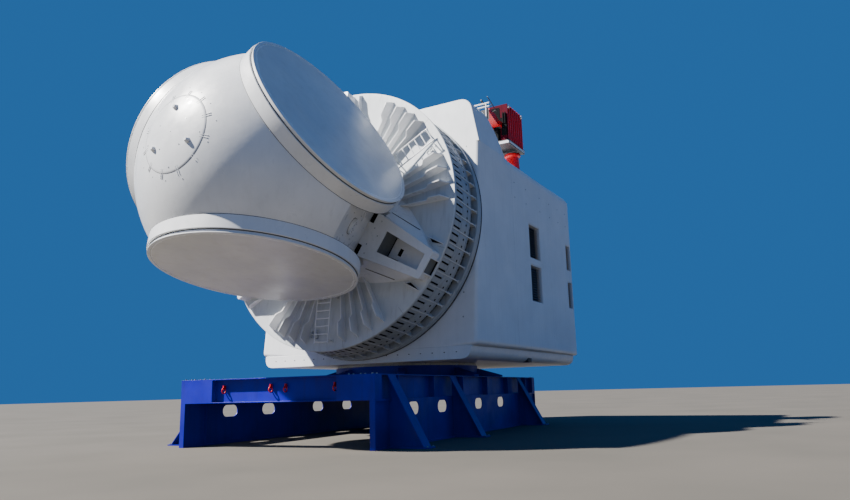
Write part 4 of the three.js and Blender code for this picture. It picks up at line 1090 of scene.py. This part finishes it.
class OBJECT_OT_turbine_arms(bpy.types.Operator):
    """Builds the torque arms with their joints, gussets and lugs, and painted shade in their pockets and
    notches
    """

    bl_idname = "object.turbine_arms"
    bl_label = "Torque arms"

    def execute(self, context):
        settings = context.scene.turbine_dish
        bolts = []
        for i, angle in enumerate(ARMS):
            place = outward(angle)
            unplaced = place.inverted()

            def tip_corner(point):
                here = unplaced @ point
                return here.z > ARM_TIP - 0.03 and abs(here.y) > 0.3 and 0.1 < here.x < 0.4

            refined(f"torque_arm_{i + 1}", "rotor", "casting", 0.014, 30, tip_corner, settings.tip_edge)
            self.gussets(settings.gusset, i + 1, place)
            self.notches(i + 1, place)
            self.pocket_shade(i + 1, place)
            out = place.col[0].to_3d()
            bolts += [(place @ Vector((arm_top(r), across, r)), out) for r, across in ARM_FIXINGS]
        bolted("arm_bolts", bolts, 0.034, 0.012, "rotor")
        return {"FINISHED"}

    def gussets(self, tall, number, place):
        bm = bmesh.new()
        outline = [(-0.02, 4.3), (tall * 0.5, 4.3), (tall, 4.5), (tall, 4.86), (0.02, 4.97), (-0.02, 4.97)]
        for side in (-1, 1):
            prism(bm, outline, 0.024, place @ move(0, side * GUSSET_PLACE, 0))
            middle = side * LUG_PLACE
            slab(bm, (0.02, middle - 0.02, ARM_TIP - 0.03), (0.32, middle + 0.02, RIM_R - 0.005), place)
        soften(bm, sharp_edges(bm, 60), 0.003)
        piece(f"arm_gussets_{number}", bm, "rotor", "casting")

    def notches(self, number, place):
        # Black slabs: painted shade in the notches beside the arm and on the hub flat next to them, painted
        # shadows of the gussets on the dish, and a painted shadow beyond the arm tip
        bm = bmesh.new()
        lean = flat_frame(ARMS[number - 1])
        (low, high), end = NOTCH_HEIGHTS, NOTCH_END
        for side in (-1, 1):
            inner, outer = sorted(side * across for across in NOTCH_ACROSS)
            slab(bm, (low, inner, end - 0.0185), (high, outer, end), place)
            slab(bm, (low, inner, 2.1), (low + 0.008, outer, end), place)
            slab(bm, (-1.9, inner, -0.01), (-1.2, outer, 0.005), lean)
            for wall in (inner, outer - 0.006):
                slab(bm, (low, wall, 2.2), (high - 0.05, wall + 0.006, end), place)
            plate(bm, [(side * 0.79, 4.5), (side * 0.885, 4.36), (side * 0.885, 4.92)], 0.0005, 0.006, place)
        slab(bm, (0.0005, -0.26, ARM_TIP + 0.001), (0.006, 0.26, 5.1), place)
        piece(f"arm_notch_painted_shade_{number}", bm, "rotor", "black")
        shade = boxes([((0.006, -0.262, ARM_TIP + 0.001), (0.4, 0.262, ARM_TIP + 0.008))], place)
        piece(f"arm_tip_shade_{number}", shade, "rotor", "corner_shade")
        barred(f"arm_skirt_seams_{number}", SKIRT_SEAMS, 0.014, "rotor", "rubber", place, 8)

    def pocket_shade(self, number, place):
        floor, (root, half) = POCKET_FLOOR, POCKET_ROOT
        # Black slabs in the pocket: painted shade for the hole in its floor, the slot under the arm's head
        # and the gaps along its sides
        hole = ((floor, -0.095, 3.585), (floor + 0.004, 0.175, 3.735))
        slot = ((floor, 0.004 - half, root + 0.001), (floor + 0.03, half - 0.004, root + 0.03))
        bm = boxes([hole, slot], place)
        start = root + 0.012
        for side, reach, tall in ((1, 0.5, 0.035), (-1, 0.1, 0.12)):
            near, far = side * pocket_half(start), side * pocket_half(root + reach)
            deep, stop = side * 0.03, root + reach
            corners = [(near, start), (far, stop), (far - deep, stop), (near - deep, start)]
            plate(bm, corners, floor, floor + tall, place)
        piece(f"arm_pocket_gap_shade_{number}", bm, "rotor", "black")
        # Grey slab on the pocket's root wall: painted shade
        wall = ((floor, 0.002 - half, root + 0.001), (arm_top(root) - 0.05, half - 0.002, root + 0.01))
        piece(f"arm_pocket_root_shade_{number}", boxes([wall], place), "rotor", "corner_shade")


LADDER_HALF, LADDER_LEVEL, LADDER_ENDS, RUNG_ENDS = 0.3, 0.26, (3.065, 4.895), (3.12, 4.84)
LADDER_FEET = (3.18, 4.78)
RUNGS = 7


def ladder_runs():
    """Rails, feet and rungs of one ladder, in its own frame."""
    level, half, (first, last) = LADDER_LEVEL, LADDER_HALF, RUNG_ENDS
    runs = []
    for side in (-half, half):
        runs.append([(level, side, r) for r in LADDER_ENDS])
        runs += [[(dish_level(r), side, r), (level, side, r)] for r in LADDER_FEET]
    for i in range(RUNGS):
        r = first + i * (last - first) / (RUNGS - 1)
        runs.append([(level, -half, r), (level, half, r)])
    return runs


class OBJECT_OT_turbine_ladders(bpy.types.Operator):
    """Builds the three dish ladders and the step beside each"""

    bl_idname = "object.turbine_ladders"
    bl_label = "Dish ladders"

    def execute(self, context):
        bar = context.scene.turbine_dish.ladder_bar
        for i, angle in enumerate(BLADES):
            node = f"dish_ladder_{i + 1}"
            barred(f"{node}_shown", ladder_runs(), bar, "rotor", "casting", outward(angle), 12, 0, [node])
            bm = bmesh.new()
            for side in (-LADDER_HALF, LADDER_HALF):
                for r in LADDER_FEET:
                    level, half = dish_level(r), 0.06
                    slab(bm, (level, side - half, r - half), (level + 0.012, side + half, r + half))
            for r in (4.36, 4.5, 4.64):
                slab(bm, (0.0, 0.36, r), (0.09, 0.62, r + 0.02))
            for side in (0.36, 0.61):
                slab(bm, (0.0, side, 4.36), (0.09, side + 0.014, 4.66))
            piece(f"ladder_feet_{i + 1}", bm, "rotor", "dish", outward(angle))
        return {"FINISHED"}


# Generator drum


class DrumSettings(bpy.types.PropertyGroup):
    """Details of the ribbed generator drum."""

    bays: count("Bays", "Bays between the long ribs", 60)
    rib: length("Rib", "Thickness of a rib", 0.045)
    slot_length: length("Slot length", "Length of the front slots", 0.53)
    hole: length("Hole", "Side of the small square holes", 0.07)
    slot_angles: bpy.props.FloatVectorProperty(
        name="Slot angles", description="Degrees from a rib to its bay's slots", size=2, default=(2.0, 4.95)
    )


PAD_R, INLAY_R, RIB_R, RIB_STEP_R, PAD_HALF = 5.07, 5.0775, 5.09, 5.12, 0.235
PADS = ((BAY_STEP + 0.045, -0.79), (-0.77, BAY_FRONT - 0.015))


class OBJECT_OT_turbine_drum(bpy.types.Operator):
    """Builds the generator drum with its ribs, painted shade for its slots, holes and rear bays, and its
    rear clamps
    """

    bl_idname = "object.turbine_drum"
    bl_label = "Generator drum"

    def execute(self, context):
        settings = context.scene.turbine_drum
        self.core()
        self.ribs(settings)
        self.openings(settings)
        self.rear(settings)
        return {"FINISHED"}

    def core(self):
        floor = GAP + DISH_DEPTH + DISH_SKIN
        front, back, band = DRUM_FRONT, DRUM_BACK, DRUM_BAND_R
        profile = [
            (-floor, 0), (-floor, FLANGE_R), (front, LAND_R), (front, RIM_R - 0.004), (front - 0.004, RIM_R),
            (-0.14, RIM_R), (BAY_FRONT, RIM_R - 0.01), (BAY_FRONT, BAY_R), (-1.36, BAY_R), (-1.365, 5.085),
            (-1.395, 5.085), (BAY_STEP, DRUM_CORE_R), (BAY_REAR, DRUM_CORE_R), (BAY_REAR, 5.15),
            (-1.815, band), (-1.99, band), (-1.993, 5.155), (-1.999, 5.155), (-2.002, band),
            (-2.13, band), (back, 5.15), (back, 1.2015), (-0.644, 1.2015), (-0.644, 0),
        ]  # fmt: skip
        bm = turned(profile, 360)
        piece("generator_drum_shown", bm, "rotor", "drum", ROTOR, ["generator_drum"], 28)

    def ribs(self, settings):
        bm = bmesh.new()
        half = settings.rib / 2
        rear, front = BAY_REAR - 0.002, BAY_FRONT + 0.003
        outline = [
            (rear, 4.85), (rear, RIB_STEP_R), (-1.47, RIB_STEP_R), (BAY_STEP, RIB_R), (-0.16, RIB_R),
            (front, RIB_R + 0.01), (front, 4.85),
        ]  # fmt: skip
        prism(bm, outline, 2 * half)
        slab(bm, (rear, -half - 0.03, 5.1), (-1.72, half + 0.03, RIB_STEP_R))
        repeated("drum_ribs", bm, settings.bays, "rotor", "dish")
        pads = [((rear, -PAD_HALF, 4.95), (front, PAD_HALF, PAD_R)) for rear, front in PADS]
        bm = boxes(pads, turn(-DRUM_PITCH / 2, "X"))
        soften(bm, sharp_edges(bm), 0.006)
        repeated("drum_pads", bm, settings.bays, "rotor", "drum")

    def openings(self, settings):
        # Black slabs on the drum: painted shade for the unlit insides of the front slots and square holes,
        # and painted shadows beside the rear rib ends
        bm = bmesh.new()
        side = settings.hole / 2
        slot = ((-0.72, -0.032, 5.05), (-0.72 + settings.slot_length, 0.032, INLAY_R))
        hole = ((-1.13 - side, -side, 5.05), (-1.13 + side, side, INLAY_R))
        for opening in (slot, hole):
            for centre in settings.slot_angles:
                slab(bm, *opening, turn(-centre, "X"))
        for centre, wide in ((1.35, 0.07), (4.9, 0.05)):
            slab(bm, (-1.78, -wide, DRUM_CORE_R), (-1.42, wide, DRUM_CORE_R + 0.006), turn(-centre, "X"))
        repeated("drum_openings_painted_shade", bm, settings.bays, "rotor", "black")

    def rear(self, settings):
        # Grey slabs in the rear bays: painted shade
        bay = ((BAY_REAR + 0.001, -0.225, DRUM_CORE_R), (BAY_STEP - 0.005, 0.225, DRUM_CORE_R + 0.004))
        bm = boxes([bay], turn(-DRUM_PITCH / 2, "X"))
        repeated("drum_rear_bay_shade", bm, settings.bays, "rotor", "corner_shade")
        clamp = boxes([((-2.138, -0.03, 5.1), (-2.06, 0.03, 5.171))])
        repeated("drum_clamps", clamp, settings.bays, "rotor", "dark", DRUM_PITCH / 2)
        # A dark ring along the rear edge of the drum band
        bm = bmesh.new()
        hoop(bm, (-2.1435, -2.065), (5.1, 5.1665), 360)
        piece("drum_rear_dark_ring", bm, "rotor", "rubber", ROTOR)


# Nacelle


class NacelleSettings(bpy.types.PropertyGroup):
    """Details of the housing."""

    front_edge: length("Front edge", "Rounding of the upright front edges", 0.3)
    blade_pitch: length("Blade pitch", "Spacing of the louvre blades", 0.11)
    frame_rim: length("Frame rim", "Width of the louvre frames", 0.045)
    seam: length("Seam", "Width of the panel seams", 0.005)
    belly_holes: count("Belly holes", "Drain holes along the front edge of the belly", 18)


SIDE_SEAMS, REAR_SEAMS, REAR_JOINT = (-5.6, -9.9), (-2.4, 2.4), 7.1
SIDE_BOLTS, SIDE_BOLT_ROWS = (-5.9, -7.2, -8.9, -10.2, -11.4, -12.5), (10.2, 9.55)
FRONT_BOLTS = (4.2, 5.1, 9.4, 10.9)
BELLY_EDGE, BELLY_HALF = 2.95, 4.2


def front_x(z):
    """Front of the leaning housing face at a height, in the nacelle frame."""
    lean = math.radians(TILT)
    return HOUSING_FRONT / math.cos(lean) - (z - AXIS_Z) * math.tan(lean)


class OBJECT_OT_turbine_housing(bpy.types.Operator):
    """Builds the housing, the hump and the belly with their seams and fittings"""

    bl_idname = "object.turbine_housing"
    bl_label = "Housing"

    def execute(self, context):
        settings = context.scene.turbine_nacelle
        unplaced = NACELLE.inverted()

        def upright_front(point):
            here = unplaced @ point
            return abs(here.x - front_x(here.z)) < 0.02 and abs(here.y) > 4.5

        for node in ("nacelle_housing", "nacelle_hump"):
            refined(node, "nacelle", "panel", 0.012, wide=upright_front, wide_edge=settings.front_edge)
        refined("nacelle_belly", "nacelle", "panel", 0.012)
        refined("main_axle", "nacelle", "steel", 0.004)
        refined("yaw_ring", "nacelle", "steel", 0.006)
        self.seams(settings.seam / 2)
        self.fixings()
        self.belly(settings.belly_holes)
        return {"FINISHED"}

    def seams(self, half):
        rear, roof, joint = HOUSING_REAR, HOUSING_ROOF, SIDE_SEAMS[1]
        bm = boxes([((joint - half, -3.8, roof - 0.05), (joint + half, 3.8, roof + 0.001))])
        for side in (-1, 1):
            low, high = sorted((side * (HOUSING_HALF - 0.05), side * (HOUSING_HALF + 0.001)))
            for x in SIDE_SEAMS:
                slab(bm, (x - half, low, 3.4), (x + half, high, 10.7))
        for y in REAR_SEAMS:
            slab(bm, (rear - GAP, y - half, 3.9), (rear + 0.05, y + half, 10.1))
        slab(bm, (rear - GAP, -4.4, REAR_JOINT), (rear + 0.05, 4.4, REAR_JOINT + 2 * half))
        piece("housing_seams", bm, "nacelle", "drum", NACELLE)

    def fixings(self):
        places = []
        lean = math.radians(TILT)
        for side in (-1, 1):
            for x in SIDE_BOLTS:
                places += [((x, side * HOUSING_HALF, z), (0, side, 0)) for z in SIDE_BOLT_ROWS]
            for z in FRONT_BOLTS:
                places.append(((front_x(z), side * 4.45, z), (math.cos(lean), 0, math.sin(lean))))
        bolted("housing_bolts", places, 0.036, 0.014, "nacelle", "galvanised", NACELLE)

    def belly(self, number):
        # Black slabs at the drain holes: painted shade for their unlit insides
        bm = bmesh.new()
        x, half = front_x(BELLY_EDGE), 0.025
        for i in range(number):
            y = BELLY_HALF * (2 * i / (number - 1) - 1)
            slab(bm, (x - 0.02, y - half, BELLY_EDGE - 0.015), (x + 0.004, y + half, BELLY_EDGE + 0.015))
        piece("belly_holes_front", bm, "nacelle", "black", NACELLE)
        bm = boxes([((-7.6, 4.3, 2.7), (-7.15, 4.72, BELLY_EDGE))])
        soften(bm, sharp_edges(bm), 0.01)
        piece("belly_junction_box", bm, "nacelle", "dark", NACELLE)


class OBJECT_OT_turbine_louvres(bpy.types.Operator):
    """Builds the louvre blades and frames in the side openings"""

    bl_idname = "object.turbine_louvres"
    bl_label = "Louvres"

    def execute(self, context):
        settings = context.scene.turbine_nacelle
        for side, word in ((1, "left"), (-1, "right")):
            for i, hole in enumerate(LOUVRES):
                self.louvre(settings, f"{word}_louvre_{i + 1}", hole, side)
        return {"FINISHED"}

    def louvre(self, settings, node, hole, side):
        front, rear, low, high = hole
        rim, pitch = settings.frame_rim, settings.blade_pitch
        floor = side * (HOUSING_HALF - LOUVRE_RECESS)
        y0, y1 = sorted((floor, side * (HOUSING_HALF - 0.02)))
        bars = [
            ((rear + GAP, y0, low + GAP), (rear + rim, y1, high - GAP)),
            ((front - rim, y0, low + GAP), (front - GAP, y1, high - GAP)),
            ((rear + rim, y0, low + GAP), (front - rim, y1, low + rim)),
            ((rear + rim, y0, high - rim), (front - rim, y1, high - GAP)),
        ]
        piece(f"{node}_frame", boxes(bars), "nacelle", "panel", NACELLE)
        y0, y1 = sorted((floor + side * GAP, floor + side * 0.02))
        shade = boxes([((rear + 0.001, y0, low + 0.001), (front - 0.001, y1, high - 0.001))])
        piece(f"{node}_shade", shade, "nacelle", "black", NACELLE)
        number = int((high - low - 0.12) / pitch)
        sizes = {"Length": front - rear - 2 * rim, "Depth": 0.15, "Slope": math.radians(-38 * side)}
        empty = bpy.data.meshes.new("blades")
        blades = grown(empty, slat_group, "louvre", Count=number, Pitch=pitch, **sizes)
        start = (low + high) / 2 - (number - 1) * pitch / 2
        place = NACELLE @ move((front + rear) / 2, floor + side * 0.11, start)
        settled(f"{node}_blades", blades, "nacelle", "louvre", place, [node])


def rail_runs():
    """Bars and posts of the guard rail on the hump, in the nacelle frame."""
    runs = [[(RAIL_X, -RAIL_HALF, z), (RAIL_X, RAIL_HALF, z)] for z in RAIL_BARS]
    for i in range(7):
        y = (RAIL_HALF - 0.15) * (i / 3 - 1)
        runs.append([(RAIL_X, y, RAIL_FOOT), (RAIL_X, y, RAIL_BARS[0])])
    return runs


class OBJECT_OT_turbine_rail(bpy.types.Operator):
    """Builds the guard rail on the rear shoulder of the hump and a dark sheet of painted shade behind it"""

    bl_idname = "object.turbine_rail"
    bl_label = "Guard rail"

    def execute(self, context):
        # A dark sheet behind the rail: painted shade
        shade_sheet = ((RAIL_X - 0.03, 3.95, RAIL_FOOT + 0.15), (RAIL_X - 0.01, RAIL_HALF - 0.04, 13.05))
        piece("hump_rail_shade_sheet", boxes([shade_sheet]), "nacelle", "dark", NACELLE)
        node = "hump_guard_rail"
        barred(f"{node}_shown", rail_runs(), 0.03, "nacelle", "panel", NACELLE, 14, 0, [node])
        return {"FINISHED"}


# Roof crane


class CraneSettings(bpy.types.PropertyGroup):
    """Details of the roof crane."""

    lamp: length("Lamp radius", "Radius of the signal lamps", 0.075)
    base_bolts: count("Base bolts", "Bolts round the column foot", 16)


# Boxes of the hoist machinery, out from the front panel: where they end, across and up
MACHINERY = (
    (0.01, (-0.48, 0.12), (0.25, 1.85)),
    (0.09, (0.2, 0.46), (0.45, 0.95)),
    (0.07, (-0.1, 0.3), (1.05, 1.3)),
)
# Cylinders in front of the panel: across and up
CYLINDERS = ((0.02, 0.3), (0.3, 1.0), (0.4, 1.0))
CYLINDER = ((0, 0), (0, 0.045), (0.5, 0.045), (0.52, 0.03), (0.55, 0.03), (0.55, 0))


class OBJECT_OT_turbine_crane(bpy.types.Operator):
    """Builds the roof crane with its column bolts, lamps, front machinery and mast"""

    bl_idname = "object.turbine_crane"
    bl_label = "Roof crane"

    def execute(self, context):
        settings = context.scene.turbine_crane
        refined("crane_column", "nacelle", "red", 0.01)
        self.deck()
        refined("crane_house", "crane", "red", 0.008)
        refined("crane_boom", "boom", "red", 0.006)
        refined("crane_boom_tip", "boom", "dark", 0.004)
        ring = circle(0.46, COLUMN_FLANGE, settings.base_bolts)
        places = [((y, z, level), (0, 0, 1)) for level, y, z in ring]
        bolted("crane_base_bolts", places, 0.06, 0.035, "nacelle", "bolt", SLEW)
        self.lamps(settings.lamp)
        self.machinery()
        self.mast()
        return {"FINISHED"}

    def deck(self):
        # The deck in charcoal: painted shade of its underside
        bm = joined("crane_deck")
        cut_off(bm, SLEW @ Vector((-0.2, 0, 0)), Vector((-1, 0, 0)))
        soften(bm, sharp_edges(bm), 0.008)
        piece("crane_deck_shown", bm, "crane", "dark", stands_for=["crane_deck"], even=True)

    def lamps(self, radius):
        bm = bmesh.new()
        profile = [(0, 0), (0, radius), (0.045, radius), (0.06, radius * 0.6), (0.065, 0)]
        for x in (-0.08, 1.48):
            lathe(bm, profile, 24, move(x, 0.49, 1.85) @ turn(90, "Z"))
        piece("crane_lamps", bm, "crane", "lens", SLEW)

    def machinery(self):
        back, front = CRANE_FRONT + GAP, CRANE_FRONT + GAP + 0.01
        # A thin crimson sheet over the house front: painted shade
        panel = boxes([((back, -CRANE_HALF, 0.2), (front, CRANE_HALF, 1.965))])
        piece("crane_front_shade_panel", panel, "crane", "shaded_crimson", SLEW)
        bm = boxes([((front, y0, z0), (front + out, y1, z1)) for out, (y0, y1), (z0, z1) in MACHINERY])
        for y, z in CYLINDERS:
            lathe(bm, CYLINDER, 20, move(front + 0.055, y, z) @ turn(-90, "Y"))
        piece("crane_machinery", bm, "crane", "black", SLEW)
        corner = (1.7215, 0.5615, 0.15)
        edges = boxes([((-0.19, 0.54, 0.03), corner), ((1.7, -0.66, 0.03), corner)])
        piece("crane_deck_edges", edges, "crane", "panel", SLEW)

    def mast(self):
        across, up = 0.32, 0.12
        rod = [(0.7, across, up), (1.75, across, up)]
        holders = [[(x, 0.08, 0.05), (x, across, up)] for x in (0.8, 1.2)]
        barred("boom_mast", [rod, *holders], 0.02, "boom", "dark", BOOM)


# Transport stand


class StandSettings(bpy.types.PropertyGroup):
    """Details of the transport stand."""

    edge: length("Plate edge", "Rounding of the plate edges", 0.004)
    joint_bolt: length("Joint bolt", "Width of the bolts at the beam joints", 0.055)


BLUE_NODES = (
    "stand_front_beam", "stand_rear_beam", "stand_left_side", "stand_right_side", "stand_girders",
    "pedestal",
)  # fmt: skip
SHACKLE_PLACES = (-1.94, -0.12, 0.43, 2.19)


class OBJECT_OT_turbine_stand(bpy.types.Operator):
    """Builds the blue stand with its bolts"""

    bl_idname = "object.turbine_stand"
    bl_label = "Transport stand"

    def execute(self, context):
        settings = context.scene.turbine_stand
        for node in BLUE_NODES:
            refined(node, "stand", "blue", settings.edge)
        places = []
        up = (0, 0, 1)
        foot = STAND_HALF + BRACE_REACH + 0.07
        for side in (-1, 1):
            for end in (STAND_FRONT, STAND_REAR):
                for dx in (0.08, 0.34):
                    x = end - math.copysign(dx, end)
                    places += [((x, side * (STAND_HALF - dy), STAND_TOP), up) for dy in (0.12, 0.5, 0.9)]
            for step in BRACE_STEPS:
                places += [((STAND_FRONT - step + dx, side * foot, 0.04), up) for dx in (-0.19, 0.19)]
        bolted("stand_bolts", places, settings.joint_bolt, 0.034, "stand", "bolt", STAND)
        return {"FINISHED"}


class OBJECT_OT_turbine_shackles(bpy.types.Operator):
    """Builds the four lifting shackles on the front beam"""

    bl_idname = "object.turbine_shackles"
    bl_label = "Shackles"

    def execute(self, context):
        face = STAND_FRONT - BEAM_WIDTH / 2 + 0.015 + GAP
        for i, y in enumerate(SHACKLE_PLACES):
            node = f"shackle_{i + 1}"
            middle = Vector((face + 0.075, y, 1.7675))
            bow = [middle + Vector((along, 0, up)) for _, along, up in circle(0.085, 0, 36)]
            barred(f"{node}_bow", [[*bow, bow[0]]], 0.0198, "stand", "red", STAND, 14, 0, [node])
            lug = boxes([((face, y - 0.02, 1.79), (face + 0.11, y + 0.02, 1.93))])
            soften(lug, sharp_edges(lug), 0.005)
            piece(f"{node}_lug", lug, "stand", "red", STAND)
        return {"FINISHED"}


# Stage


class StageSettings(bpy.types.PropertyGroup):
    """Light, floor and camera."""

    sun_strength: bpy.props.FloatProperty(name="Sun", description="Strength of the key light", default=15.0)
    sun_size: bpy.props.FloatProperty(
        name="Sun size", description="Softness of the shadows", default=math.radians(1.5), subtype="ANGLE"
    )
    sky: colour("Sky colour", "Colour of the fill", "#4698F6")
    sky_strength: bpy.props.FloatProperty(name="Sky", description="Strength of the fill", default=0.42)
    lens: bpy.props.FloatProperty(name="Lens", description="Focal length in mm", default=29.43)
    floor: length("Floor", "Half side of the floor", 400.0)


SUN_WAY, SUN_COLOUR = Vector((0.403, -0.568, 0.717)), (1.0, 0.97, 0.92)
EYE = Vector((23.455943, 15.395251, 1.6))
HEADING, PITCH, ROLL = math.radians(29.372), math.radians(11.482), math.radians(-1.41)


def camera_turn():
    """Orientation of the camera as in the photo."""
    level = Vector((-math.cos(HEADING), -math.sin(HEADING), 0))
    right = Vector((level.y, -level.x, 0))
    ahead = level * math.cos(PITCH) + Vector((0, 0, math.sin(PITCH)))
    above = right.cross(ahead)
    across = right * math.cos(ROLL) + above * math.sin(ROLL)
    up = above * math.cos(ROLL) - right * math.sin(ROLL)
    return Matrix((across, up, -ahead)).transposed()


class OBJECT_OT_turbine_stage(bpy.types.Operator):
    """Sets up the floor, the studio light and the camera"""

    bl_idname = "object.turbine_stage"
    bl_label = "Stage"

    def execute(self, context):
        settings = context.scene.turbine_stage
        self.floor(context, settings.floor)
        self.light(context, settings)
        self.camera(context, settings.lens)
        return {"FINISHED"}

    def floor(self, context, size):
        bm = bmesh.new()
        bmesh.ops.create_grid(bm, x_segments=1, y_segments=1, size=size)
        mesh = bpy.data.meshes.new("floor")
        bm.to_mesh(mesh)
        bm.free()
        mesh.materials.append(pale_floor())
        floor = bpy.data.objects.new("floor", mesh)
        context.scene.collection.objects.link(floor)

    def light(self, context, settings):
        data = bpy.data.lights.new("sun", "SUN")
        data.energy = settings.sun_strength
        data.angle = settings.sun_size
        data.color = SUN_COLOUR
        sun = bpy.data.objects.new("sun", data)
        sun.rotation_mode = "QUATERNION"
        sun.rotation_quaternion = SUN_WAY.to_track_quat("Z", "Y")
        context.scene.collection.objects.link(sun)
        world = bpy.data.worlds.new("studio")
        world.use_nodes = True
        tree = world.node_tree
        tree.nodes.clear()
        glow = {"Color": [*settings.sky, 1.0], "Strength": settings.sky_strength}
        add(tree, "ShaderNodeOutputWorld", links={"Surface": add(tree, "ShaderNodeBackground", glow)})
        context.scene.world = world

    def camera(self, context, lens):
        data = bpy.data.cameras.new("camera")
        data.sensor_width = 36
        data.lens = lens
        data.clip_end = 2000
        camera = bpy.data.objects.new("camera", data)
        camera.matrix_world = move(*EYE) @ camera_turn().to_4x4()
        context.scene.collection.objects.link(camera)
        context.scene.camera = camera


# Add-on


SETTINGS = {
    "turbine_paint": PaintSettings,
    "turbine_hub": HubSettings,
    "turbine_ports": PortSettings,
    "turbine_dish": DishSettings,
    "turbine_drum": DrumSettings,
    "turbine_nacelle": NacelleSettings,
    "turbine_crane": CraneSettings,
    "turbine_stand": StandSettings,
    "turbine_stage": StageSettings,
}
OPERATORS = (
    OBJECT_OT_turbine_hub,
    OBJECT_OT_turbine_hatch,
    OBJECT_OT_turbine_ports,
    OBJECT_OT_turbine_dish,
    OBJECT_OT_turbine_arms,
    OBJECT_OT_turbine_ladders,
    OBJECT_OT_turbine_drum,
    OBJECT_OT_turbine_housing,
    OBJECT_OT_turbine_louvres,
    OBJECT_OT_turbine_rail,
    OBJECT_OT_turbine_crane,
    OBJECT_OT_turbine_stand,
    OBJECT_OT_turbine_shackles,
    OBJECT_OT_turbine_stage,
)


class VIEW3D_PT_turbine(bpy.types.Panel):
    """Settings and steps of the nacelle"""

    bl_idname = "VIEW3D_PT_turbine"
    bl_label = "Nacelle"
    bl_space_type = "VIEW_3D"
    bl_region_type = "UI"
    bl_category = "Nacelle"

    def draw(self, context):
        for name, kind in SETTINGS.items():
            settings = getattr(context.scene, name)
            box = self.layout.box()
            box.label(text=kind.__name__.replace("Settings", ""))
            for field in kind.__annotations__:
                box.prop(settings, field)
        for operator in OPERATORS:
            self.layout.operator(operator.bl_idname)


CLASSES = (*SETTINGS.values(), *OPERATORS, VIEW3D_PT_turbine)


def register():
    for kind in CLASSES:
        bpy.utils.register_class(kind)
    for name, kind in SETTINGS.items():
        setattr(bpy.types.Scene, name, bpy.props.PointerProperty(type=kind))


def unregister():
    for name in SETTINGS:
        delattr(bpy.types.Scene, name)
    for kind in reversed(CLASSES):
        bpy.utils.unregister_class(kind)


def main():
    register()
    for operator in OPERATORS:
        step = operator.bl_idname.split(".")[1]
        getattr(bpy.ops.object, step)()


if __name__ == "__main__":
    main()
